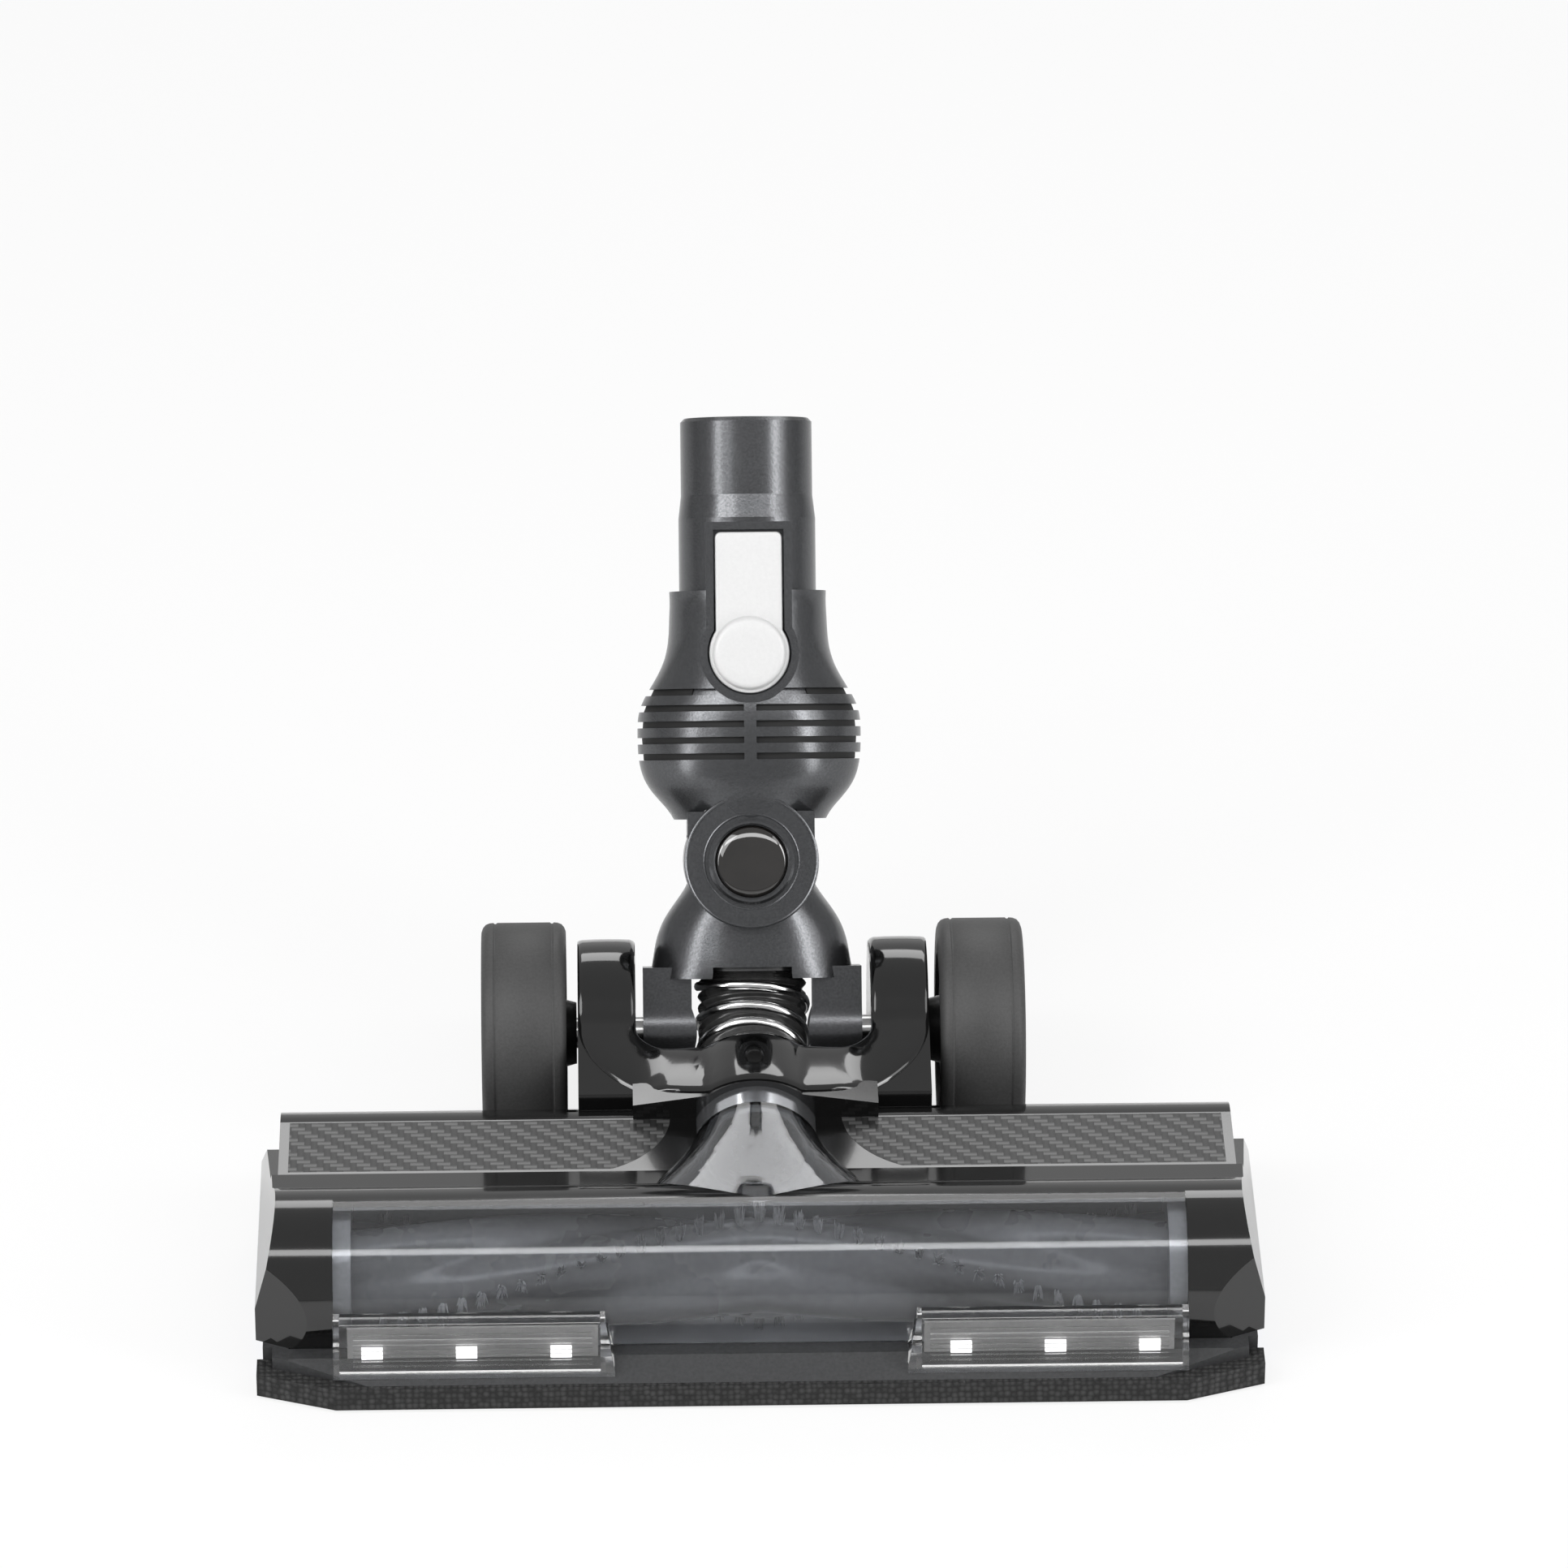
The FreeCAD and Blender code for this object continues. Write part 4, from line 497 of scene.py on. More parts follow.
# Hose: ribbed wall and its steel wire on one bent centre line, all in mm
HOSE_HEIGHT = 27.5
HOSE_START = 75.1
HOSE_BEND = 31.0
HOSE_END = 27.0
HOSE_SIDES = 48
WALL_RADIUS = 13.7
WALL_STEP = 0.5
RIB_HEIGHT = 0.55
RIB_PITCH = 3.3
BORE_RADIUS = 12.4
BORE_STEPS = 40
WIRE_PITCH = 9.9
WIRE_STEPS = 44
WIRE_SIDES = 10
WIRE_RADIUS = 14.2
WIRE_HALF_OUT, WIRE_HALF_ALONG = 0.95, 1.25
WIRE_MARGIN = 1.0
HOSE_BLEND = (0.15, 0.85)


def hose_line():
    """Length in mm, and a function from a distance to its spot and normal.

    The line runs straight back from the duct, turns once and follows the neck.
    """
    axle_y = (AXLE.y - LIP.y) * 1000
    axle_z = AXLE.z * 1000
    corner_y = axle_y - (axle_z - HOSE_HEIGHT) * math.tan(LEAN)
    turn = math.pi / 2 - LEAN
    run = HOSE_BEND * math.tan(turn / 2)
    first = corner_y - run - HOSE_START
    arc = HOSE_BEND * turn
    rise = (axle_z - HOSE_HEIGHT) / math.cos(LEAN)
    last = HOSE_END + rise - run

    def place(distance):
        angle = min(max((distance - first) / HOSE_BEND, 0), turn)
        forward = Vector((0, math.cos(angle), math.sin(angle)))
        spot = Vector((0, HOSE_START + min(distance, first), HOSE_HEIGHT))
        spot += HOSE_BEND * Vector((0, math.sin(angle), 1 - math.cos(angle)))
        spot += forward * max(distance - first - arc, 0)
        return spot, Vector((0, -math.sin(angle), math.cos(angle)))

    return first + arc + last, place


def outwards(normal, turn):
    """Direction out of the hose, at an angle round it."""
    return Vector((math.cos(turn), 0, 0)) + normal * math.sin(turn)


def hose_ring(shape, spot, normal, radius):
    """Round row of vertices across the hose."""
    return add_row(shape, [spot + outwards(normal, turn) * radius
                           for turn in full_turn(HOSE_SIDES)])


def hose_wall(length, place):
    """Ribbed outside, and the bore back along the same line."""
    shape = bmesh.new()
    rows = []
    steps = int(length / WALL_STEP)
    for step in range(steps + 1):
        distance = length * step / steps
        rib = RIB_HEIGHT * math.cos(2 * math.pi * distance / RIB_PITCH)
        rows.append(hose_ring(shape, *place(distance), WALL_RADIUS + rib))
    for step in range(BORE_STEPS, -1, -1):
        rows.append(hose_ring(shape, *place(length * step / BORE_STEPS), BORE_RADIUS))
    grid_faces(shape, rows, close_rows=True)
    return add_shape("hose_wall", shape, HEAD_FRAME, None, "hose_vinyl", ["hose"])


def hose_wire(length, place):
    """Flat-oval steel wire wound round the wall."""
    shape = bmesh.new()
    rows = []
    turns = (length - 2 * WIRE_MARGIN) / WIRE_PITCH
    for step in range(int(turns * WIRE_STEPS)):
        angle = 2 * math.pi * step / WIRE_STEPS
        spot, normal = place(WIRE_MARGIN + WIRE_PITCH * angle / (2 * math.pi))
        out = outwards(normal, angle)
        along = normal.cross(Vector((1, 0, 0)))
        spots = []
        for swing in full_turn(WIRE_SIDES):
            offset = (out * math.cos(swing) * WIRE_HALF_OUT
                      - along * math.sin(swing) * WIRE_HALF_ALONG)
            spots.append(spot + out * WIRE_RADIUS + offset)
        rows.append(add_row(shape, spots))
    capped_faces(shape, rows)
    return add_shape("hose_wire", shape, HEAD_FRAME, None, "axle_steel",
                     material=BRIGHT_WIRE)


def hose():
    """Wall and wire, on a fixed line that turns from the head up the neck."""
    length, place = hose_line()
    ends = [HEAD_FRAME @ mm(*place(share * length)[0]) for share in HOSE_BLEND]
    for piece in (hose_wall(length, place), hose_wire(length, place)):
        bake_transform(piece)


# Brush roll: lobed core and bundles of fibres in two chevron rows
ROLL_FRAME = HEAD_FRAME @ Matrix.Translation(mm(0, 33.5, 19.9))
ROLL_HALF = 103.0
ROLL_STATIONS = 103
ROLL_STEPS = 96
CORE_RADIUS = 11.3
LOBES, LOBE_HEIGHT, LOBE_SHARPNESS = 4, 3.0, 0.8
TUFT_TWIST = math.radians(1.15)
TUFT_PITCH = 5.0
TUFT_END_GAP = 4
TUFT_ROOT = 0.0132


def brush_core():
    """Core whose lobes twist towards both ends from the middle."""
    shape = bmesh.new()
    rows = []
    for station in range(ROLL_STATIONS):
        across = -ROLL_HALF + 2 * ROLL_HALF * station / (ROLL_STATIONS - 1)
        spots = []
        for turn in full_turn(ROLL_STEPS):
            swing = turn + abs(across) * TUFT_TWIST
            lobe = 0.5 + 0.5 * math.cos(LOBES * swing)
            radius = CORE_RADIUS + LOBE_HEIGHT * lobe ** LOBE_SHARPNESS
            spots.append((across, radius * math.sin(turn), radius * math.cos(turn)))
        rows.append(add_row(shape, spots))
    capped_faces(shape, rows)
    add_shape("roll_lobes", shape, ROLL_FRAME, "brush_roll", "roll_grey",
              ["brush_core"])


def geometry_group(name, inputs):
    """Empty geometry tree that takes points and a material, and its Tree."""
    group = bpy.data.node_groups.new(name, "GeometryNodeTree")
    group.is_modifier = True
    faces = group.interface
    faces.new_socket("Geometry", in_out="INPUT", socket_type="NodeSocketGeometry")
    for label, kind, number in inputs:
        socket = faces.new_socket(label, in_out="INPUT",
                                  socket_type="NodeSocket" + kind)
        socket.default_value = number
    faces.new_socket("Material", in_out="INPUT", socket_type="NodeSocketMaterial")
    faces.new_socket("Geometry", in_out="OUTPUT", socket_type="NodeSocketGeometry")
    build = Tree(group)
    source = build.add("NodeGroupInput").outputs
    lean = build.add("GeometryNodeInputNamedAttribute", {"Name": "Lean"},
                     data_type="FLOAT_VECTOR").outputs["Attribute"]
    return group, build, source, lean


def stand_and_dress(build, source, points, instance, aim, **sockets):
    """End of a geometry tree: copies on points, made real and given a material."""
    turned = build.add("FunctionNodeAlignRotationToVector", {"Vector": aim},
                       axis="Z").outputs[0]
    stand = build.add("GeometryNodeInstanceOnPoints", {
        "Points": points, "Instance": instance, "Rotation": turned, **sockets})
    solid = build.add("GeometryNodeRealizeInstances",
                      {"Geometry": stand.outputs[0]}).outputs[0]
    dressed = build.add("GeometryNodeSetMaterial", {
        "Geometry": solid, "Material": source["Material"]}).outputs[0]
    build.add("NodeGroupOutput", {"Geometry": dressed})


def fibre_group():
    """Bundles of tapered fibres that stand on points along their Lean."""
    group, build, source, lean = geometry_group("Fibre Bundles", (
        ("Fibres", "Int", 12), ("Length", "Float", 0.005), ("Radius", "Float", 0.0002),
        ("Spread", "Float", 0.001), ("Flare", "Float", 0.2), ("Seed", "Int", 1)))
    copies = build.add("GeometryNodeDuplicateElements", {
        "Geometry": source["Geometry"], "Amount": source["Fibres"]}, domain="POINT")
    wander = build.add("FunctionNodeRandomValue", {
        "Min": (-1, -1, -1), "Max": (1, 1, 1), "Seed": source["Seed"]},
        data_type="FLOAT_VECTOR").outputs["Value"]
    shift, swing = [
        build.add("ShaderNodeVectorMath", {0: wander, 3: source[label]},
                  operation="SCALE").outputs[0] for label in ("Spread", "Flare")]
    placed = build.add("GeometryNodeSetPosition", {
        "Geometry": copies.outputs["Geometry"], "Offset": shift}).outputs[0]
    aim = build.add("ShaderNodeVectorMath", {0: lean, 1: swing},
                    operation="ADD").outputs[0]
    cone = build.add("GeometryNodeMeshCone", {
        "Vertices": 4, "Radius Top": 0.00005, "Radius Bottom": source["Radius"],
        "Depth": source["Length"]}).outputs["Mesh"]
    stand_and_dress(build, source, placed, cone, aim)
    return group


def grown(name, roots, group, **inputs):
    """Plain mesh of a geometry tree run on (spot, direction) roots."""
    mesh = bpy.data.meshes.new(name)
    mesh.from_pydata([spot for spot, lean in roots], [], [])
    attribute = mesh.attributes.new("Lean", "FLOAT_VECTOR", "POINT")
    for index, (spot, lean) in enumerate(roots):
        attribute.data[index].vector = lean
    holder = bpy.data.objects.new(name, mesh)
    scene.collection.objects.link(holder)
    modifier = holder.modifiers.new(name, "NODES")
    modifier.node_group = group
    for item in group.interface.items_tree:
        if item.in_out == "INPUT" and item.name in inputs:
            modifier[item.identifier] = inputs[item.name]
    bpy.context.view_layer.update()
    seen = bpy.context.evaluated_depsgraph_get()
    result = bpy.data.meshes.new_from_object(holder.evaluated_get(seen))
    holder.modifiers.clear()
    bpy.data.objects.remove(holder)
    result.name = name
    return result


FIBRES = fibre_group()


def bristles():
    """Tufts in two rows that meet in a chevron at the middle of the roll."""
    roots = []
    rows = int((ROLL_HALF - TUFT_END_GAP) / TUFT_PITCH)
    for row in range(-rows, rows + 1):
        across = row * TUFT_PITCH
        for start in (0, math.pi):
            turn = start + abs(across) * TUFT_TWIST
            out = Vector((0, -math.sin(turn), math.cos(turn)))
            roots.append((ROLL_FRAME @ (mm(across, 0, 0) + out * TUFT_ROOT), out))
    mesh = grown("tuft_fibres", roots, FIBRES, Fibres=26, Length=0.0053,
                 Radius=0.00028, Spread=0.0007, Flare=0.16, Seed=3,
                 Material=FINISHES["bristle"])
    add_piece("tuft_fibres", mesh, "brush_roll", "bristle", ["bristle_tufts"])


# Felt strip: U-shaped in plan, a bar behind the mouth and a leg on each side
FELT_LOW, FELT_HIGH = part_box("felt_strip")
FELT_BAR_FRONT = LIP.y + 0.0573
FELT_LEG_INNER = abs(FELT_LOW.x) - 0.0054
FELT_BACKING_FOOT = 1.2
PILE_STEP = 0.0011
PILE_ROOT = 0.00165
PILE_JITTER = 0.35
PILE_SWING, PILE_SLANT = 0.35, -0.25
JITTER_WAVE_X, JITTER_WAVE_Y, SWING_WAVE = 12.9898, 78.233, 3.1


def felt_pile():
    """Short pile on the strip: leaning fibres that end just at the floor."""
    roots = []
    count = 0
    y = FELT_LOW.y + PILE_STEP / 2
    while y < FELT_HIGH.y:
        x = FELT_LOW.x + PILE_STEP / 2
        while x < FELT_HIGH.x:
            count += 1
            jitter = Vector((math.sin(count * JITTER_WAVE_X),
                             math.sin(count * JITTER_WAVE_Y), 0))
            if y > FELT_BAR_FRONT or abs(x) > FELT_LEG_INNER:
                swing = PILE_SWING * math.sin(count * SWING_WAVE)
                lean = Vector((swing, PILE_SLANT, -1))
                spot = Vector((x, y, PILE_ROOT)) + jitter * PILE_STEP * PILE_JITTER
                roots.append((spot, lean))
            x += PILE_STEP
        y += PILE_STEP
    mesh = grown("felt_pile", roots, FIBRES, Fibres=5, Length=0.0012,
                 Radius=0.00026, Spread=0.0002, Flare=0.3, Seed=8,
                 Material=FINISHES["blue_felt"])
    add_piece("felt_pile", mesh, "head", "blue_felt")


def felt_backing():
    """Plain strip that the pile stands on."""
    shape = bmesh.new()
    reach = abs(FELT_LOW.x) * 1000
    inside = FELT_LEG_INNER * 1000
    front, middle, rear = ((place - LIP.y) * 1000
                           for place in (FELT_LOW.y, FELT_BAR_FRONT, FELT_HIGH.y))
    outline = [(-reach, front), (-inside, front), (-inside, middle), (inside, middle),
               (inside, front), (reach, front), (reach, rear), (-reach, rear)]
    plate(shape, outline, FELT_BACKING_FOOT, FELT_HIGH.z * 1000)
    add_shape("felt_backing", shape, HEAD_FRAME, "head", "blue_felt", ["felt_strip"])


# Screws with a cross recess, one template set on every seat
COVER_SCREW_PROUD = 0.0007


def screw_mesh(radius=2.45, height=1.3, arm=1.35, half=0.38, deep=0.8, lip=0.3,
               steps=28, taper=0.8):
    """Pan head with a cross recess, its top at z = 0, in metres."""
    shape = bmesh.new()
    flat_radius = radius - lip
    outer = [Vector((math.cos(turn), math.sin(turn), 0)) * flat_radius
             for turn in full_turn(steps)]
    cross = []
    for quarter in range(4):
        turn = Matrix.Rotation(quarter * math.pi / 2, 3, "Z")
        for x, y in ((half, half), (half, arm), (-half, arm)):
            cross.append(turn @ Vector((x, y, 0)))
    verts = [shape.verts.new(spot * 0.001) for spot in outer + cross]
    for triangle in tessellate_polygon([outer, cross]):
        shape.faces.new([verts[index] for index in triangle])
    edge, foot = [
        add_row(shape, [(spot.x * radius / flat_radius, spot.y * radius / flat_radius, z)
                        for spot in outer]) for z in (-lip, -height)]
    grid_faces(shape, [verts[:steps], edge, foot])
    shape.faces.new(foot)
    bottom = add_row(shape, [(spot.x * taper, spot.y * taper, -deep)
                             for spot in cross])
    grid_faces(shape, [verts[steps:], bottom])
    shape.faces.new(bottom)
    return finished_mesh(shape, "screw_template", crease=35)


def screw_group(template):
    """Template screws that stand on points along their Lean."""
    group, build, source, lean = geometry_group("Set Screws",
                                                [("Size", "Float", 1.0)])
    head = build.add("GeometryNodeObjectInfo", {"Object": template})
    stand_and_dress(build, source, source["Geometry"], head.outputs["Geometry"], lean,
                    Scale=source["Size"])
    return group


def island_boxes(node):
    """Boxes of the separate pieces of a CAD node, as (low, high) pairs."""
    shape = bmesh.new()
    shape.from_mesh(nodes[node].data)
    bmesh.ops.remove_doubles(shape, verts=shape.verts, dist=MERGE_DISTANCE)
    boxes = []
    seen = set()
    for vert in shape.verts:
        if vert in seen:
            continue
        waiting = [vert]
        island = []
        seen.add(vert)
        while waiting:
            here = waiting.pop()
            island.append(here.co.copy())
            for edge in here.link_edges:
                other = edge.other_vert(here)
                if other not in seen:
                    seen.add(other)
                    waiting.append(other)
        boxes.append((Vector(map(min, *island)), Vector(map(max, *island))))
    shape.free()
    return boxes


def screws():
    """Screws of the underside at their feet, and one on the cable cover."""
    template = bpy.data.objects.new("screw_template", screw_mesh())
    group = screw_group(template)
    down = Vector((0, 0, -1))
    seats = [(Vector(((low.x + high.x) / 2, (low.y + high.y) / 2, low.z)), down)
             for low, high in island_boxes("sole_screws")]
    low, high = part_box("cover_screw")
    back = NECK_FRAME.to_3x3() @ Vector((0, 1, 0))
    cover_seat = (low + high) / 2 + back * COVER_SCREW_PROUD
    for name, roots, body, replaced in (
            ("cross_screws", seats, "head", "sole_screws"),
            ("cable_cover_screw", [(cover_seat, back)], "upper_neck", "cover_screw")):
        mesh = grown(name, roots, group, Size=1.0, Material=FINISHES["screw_steel"])
        add_piece(name, mesh, body, "screw_steel", [replaced])
    bpy.data.objects.remove(template)


# Swivel: dome, bright inner rim and the raised edges of the cheeks, as
# (along, radius) profiles in mm round the swivel's centre
PIVOT = (0, 0, 44.5)
DOME_CROWN = [(20.3 + 1.9 * math.cos(math.radians(angle)),
               9.4 * math.sin(math.radians(angle))) for angle in range(84, 0, -6)]
DOME = [(17.2, 0.0), (17.2, 7.9), (20.25, 7.9), (20.25, 9.4), *DOME_CROWN, (22.2, 0.0)]
RIM = [(20.22, 9.5), (21.5, 9.5), (21.9, 9.9), (21.9, 10.5), (21.3, 11.2),
       (20.22, 11.2)]
OUTER_EDGE = [(19.9, 16.7), (20.35, 16.8), (20.5, 17.1), (20.35, 17.4), (19.9, 17.45)]
INNER_EDGE = [(19.9, 12.0), (20.15, 12.05), (20.25, 12.3), (20.15, 12.55),
              (19.9, 12.6)]


def swivel():
    """Pivot domes with their rims, and the edges on both faces of the cheeks."""
    for name, side in (("front", -1), ("rear", 1)):
        for ending, profiles, steps, body, slot_name, replaced in (
                ("_pivot_dome", [DOME], 64, "neck", "pivot_gloss",
                 [name + "_pivot_cap"]),
                ("_pivot_rim", [RIM], 80, "neck", "gunmetal", ()),
                ("_cheek_edge", [OUTER_EDGE, INNER_EDGE], 96, "upper_neck",
                 "gunmetal", ())):
            shape = bmesh.new()
            for profile in profiles:
                lathe(shape, profile, 1, side, steps, PIVOT)
            add_shape(name + ending, shape, NECK_FRAME, body, slot_name, replaced)


# Grille: painted shade in the slots round the bulge, as dark bands inside the shell seen between the fins.
# The bulge is (height, half width, half depth), a band (lift, depth), in mm
BULGE = ((65.0, 27.0, 22.5), (70.0, 28.7, 23.6), (77.0, 29.2, 24.0),
         (84.0, 28.6, 23.6), (90.0, 25.7, 22.6), (95.0, 22.9, 21.6))
SLOTS = 5
SLOT_START = 71.0
SLOT_PITCH = 4.2
SLOT_STEPS = 96
SLOT_SHADE_SECTION = ((0.05, 1.15), (1.65, 1.15), (1.65, 1.9), (0.05, 1.9))
BEZEL_HALF_TURN = math.radians(36)


def bulge_reach(height):
    """Half width and half depth of the neck shell at a height."""
    for low, high in zip(BULGE, BULGE[1:]):
        if height <= high[0]:
            share = (height - low[0]) / (high[0] - low[0])
            return [low[key] + (high[key] - low[key]) * share for key in (1, 2)]


def grille_floors():
    """Closed dark bands inside the shell, one to a slot: painted shade in the grille's slots."""
    shape = bmesh.new()
    for slot in range(SLOTS):
        # The top slot ends at both sides of the button's bezel
        closed = slot < SLOTS - 1
        gap = 0 if closed else BEZEL_HALF_TURN
        base = SLOT_START + SLOT_PITCH * slot
        rows = []
        for lift, depth in SLOT_SHADE_SECTION:
            height = base + lift
            wide, deep = bulge_reach(height)
            spots = []
            for step in range(SLOT_STEPS):
                swing = (2 * math.pi - 2 * gap) * step / (SLOT_STEPS - 1)
                turn = gap - math.pi / 2 + swing
                spots.append(((wide - depth) * math.cos(turn),
                              (deep - depth) * math.sin(turn), height))
            rows.append(add_row(shape, spots))
        grid_faces(shape, rows, close_rows=True, close_columns=closed)
        if not closed:
            for column in (0, -1):
                shape.faces.new([row[column] for row in rows])
    # Painted shade: the bands darken the slots where the shadow falls
    add_shape("grille_floors", shape, NECK_FRAME, "upper_neck", "pulley_plastic",
              material=SLOT_SHADE_PAINT)


# Release button: one keyhole outline with a soft edge and a low dished pad, in mm.
# Its levels are (y, shrink), from the back to the face
PAD_HEIGHT = 98.6
PAD_RADIUS = 10.5
PAD_STEPS = 40
PADDLE_HALF = 8.75
PADDLE_TOP = 130.0
PADDLE_CORNER = 1.6
BUTTON_LEVELS = ((-21.4, 0.0), (-22.3, 0.0), (-22.75, 0.15), (-22.95, 0.5),
                 (-23.0, 1.0))
PAD = [(-22.9, 0.0), (-22.9, 9.6), (-24.3, 9.3), (-24.85, 8.8), (-25.1, 8.0),
       (-25.0, 5.0), (-24.9, 0.0)]


def keyhole(shrink=0.0):
    """Outline of pad and paddle in (x, z), going round once."""
    radius = PAD_RADIUS - shrink
    half = PADDLE_HALF - shrink
    top = PADDLE_TOP - shrink
    neck_angle = math.degrees(math.asin(math.sqrt(1 - (half / radius) ** 2)))
    points = []
    for step in range(PAD_STEPS + 1):
        angle = math.radians(
            180 - neck_angle + (180 + 2 * neck_angle) * step / PAD_STEPS)
        points.append((radius * math.cos(angle), PAD_HEIGHT + radius * math.sin(angle)))
    for centre_x, start in ((half - PADDLE_CORNER, 0), (PADDLE_CORNER - half, 90)):
        points += corner_round(centre_x, top - PADDLE_CORNER, PADDLE_CORNER, start)
    return points


def release_button():
    """Keyhole plate, and the round pad that the thumb presses."""
    shape = bmesh.new()
    capped_faces(shape, [add_row(shape, [(x, y, z) for x, z in keyhole(shrink)])
                         for y, shrink in BUTTON_LEVELS])
    lathe(shape, PAD, 1, centre=(0, 0, PAD_HEIGHT))
    add_shape("keyhole_button", shape, NECK_FRAME, "button", "white_button",
              ["release_button"])


# Wheels: stepped hub caps and a shoulder line on each tyre, as (along, radius)
HUB_CAP = [(66.2, 0.0), (66.2, 17.3), (68.4, 17.3), (69.0, 16.6), (69.3, 15.4),
           (68.5, 15.0), (68.5, 13.6), (69.3, 13.2), (69.5, 12.6), (69.5, 5.2),
           (69.0, 4.6), (69.0, 0.0)]
TYRE = [(48.5, 20.0), (48.5, 26.6), (48.9, 27.7), (49.6, 28.5), (50.6, 28.9),
        (51.6, 29.0), (51.9, 28.7), (52.3, 28.7), (52.6, 29.0), (66.4, 29.0),
        (66.7, 28.7), (67.1, 28.7), (67.4, 29.0), (68.4, 28.9), (69.4, 28.5),
        (70.1, 27.7), (70.5, 26.6), (70.5, 20.0)]


def wheels():
    """Cap and tyre of each rear wheel, round the axle."""
    axle = AXLE * 1000
    for name, side in SIDES:
        for ending, profile, steps, crease, slot_name, replaced in (
                ("_stepped_cap", HUB_CAP, 64, 40, "wheel_plastic", "_hub_cap"),
                ("_soft_tyre", TYRE, 120, 50, "tyre_rubber", "_tyre")):
            shape = bmesh.new()
            lathe(shape, profile, 0, side, steps, (0, axle.y, axle.z))
            add_shape(name + ending, shape, None, name + "_wheel", slot_name,
                      [name + replaced], crease=crease)


# Saddle: a glossy skin, U-shaped in plan, over the bridge and both yoke arms, in mm
ARM_IN, ARM_OUT = 30.5, 45.5
SADDLE_TURN = 112
SADDLE_REAR, SADDLE_STEP, SADDLE_TURN_STEPS = 146, 2, 36
SADDLE_FRONT_OUT, SADDLE_FRONT_IN = 31.3, 9.3
CROWN_HALF, CROWN_RADIUS = 12, 18.7
FLANK_TOP, FLANK_DROP, FLANK_WIDTH = 41.84, 2.84, 19.5
ARM_START, ARM_RUN, ARM_ROUND_START = 79.3, 33.7, 113
ARM_FOOT, ARM_RISE = 35.2, 8.9
HUB_Y, HUB_Z, HUB_RADIUS = 131, 29, 23.5
JOIN_START, JOIN_WIDTH, JOIN_DROP = 22, 10, 2
SKIN_SECTION = ((0.0, -1.4), (0.0, 0.35), (0.03, 0.75), (0.09, 0.95), (0.3, 1.1),
                (0.5, 1.15), (0.7, 1.1), (0.91, 0.95), (0.97, 0.75), (1.0, 0.35),
                (1.0, -1.4))


def saddle_height(x, y):
    """Height in mm of the bridge and the arms under a plan place."""
    x = abs(x)
    if x < CROWN_HALF:
        bridge = HOSE_HEIGHT + math.sqrt(CROWN_RADIUS ** 2 - x ** 2)
    else:
        run = min(x, CROWN_HALF + FLANK_WIDTH) - CROWN_HALF
        bridge = FLANK_TOP - FLANK_DROP * run / FLANK_WIDTH
    if y < ARM_ROUND_START:
        arm = ARM_FOOT + ARM_RISE * (y - ARM_START) / ARM_RUN
    else:
        arm = HUB_Z + math.sqrt(max(HUB_RADIUS ** 2 - (y - HUB_Y) ** 2, 0))
    share = min(max((x - JOIN_START) / JOIN_WIDTH, 0), 1)
    share = share * share * (3 - 2 * share)
    return bridge + (max(arm, bridge - JOIN_DROP) - bridge) * share


def saddle():
    """Skin along the left arm, round the front and back along the right arm."""
    places = [((-ARM_OUT, y), (-ARM_IN, y))
              for y in range(SADDLE_REAR, SADDLE_TURN, -SADDLE_STEP)]
    for step in range(SADDLE_TURN_STEPS + 1):
        turn = math.radians(90 * step / SADDLE_TURN_STEPS)
        front = math.sin(turn)
        side = math.cos(turn)
        places.append(((-ARM_OUT * side, SADDLE_TURN - SADDLE_FRONT_OUT * front),
                       (-ARM_IN * side, SADDLE_TURN - SADDLE_FRONT_IN * front ** 0.5)))
    places += [((-outer[0], outer[1]), (-inner[0], inner[1]))
               for outer, inner in reversed(places[:-1])]
    shape = bmesh.new()
    rows = []
    for outer, inner in places:
        spots = []
        for across, lift in SKIN_SECTION:
            x = outer[0] + (inner[0] - outer[0]) * across
            y = outer[1] + (inner[1] - outer[1]) * across
            spots.append((x, y, saddle_height(x, y) + lift))
        rows.append(add_row(shape, spots))
    capped_faces(shape, rows)
    add_shape("yoke_saddle", shape, HEAD_FRAME, "head", "gloss_black", crease=55)


# Small plates of the head, in mm
STICKER_LEFT, STICKER_RIGHT = -109.8, -53.2
STICKER_FRONT, STICKER_REAR = 67.6, 86.9
STICKER_CORNER = 2.0
STICKER_FACE, STICKER_BACK = 2.88, 3.02
LENS_RIBS = 7
LENS_RIB_RADIUS = 0.22
LENS_RIB_INSET = 1.5
LENS_RIB_Y, LENS_RIB_STEP_Y = 6.0, 0.27
LENS_RIB_Z, LENS_RIB_STEP_Z = 10.2, 1.35


def blank_sticker():
    """Bare white sticker with round corners under the left half."""
    left, right = STICKER_LEFT + STICKER_CORNER, STICKER_RIGHT - STICKER_CORNER
    front, rear = STICKER_FRONT + STICKER_CORNER, STICKER_REAR - STICKER_CORNER
    outline = []
    for centre_x, centre_y, start in ((right, rear, 0), (left, rear, 90),
                                      (left, front, 180), (right, front, 270)):
        outline += corner_round(centre_x, centre_y, STICKER_CORNER, start)
    shape = bmesh.new()
    plate(shape, outline, STICKER_FACE, STICKER_BACK)
    add_shape("blank_sticker", shape, HEAD_FRAME, "head", "contact_grey",
              material=BLANK_STICKER)


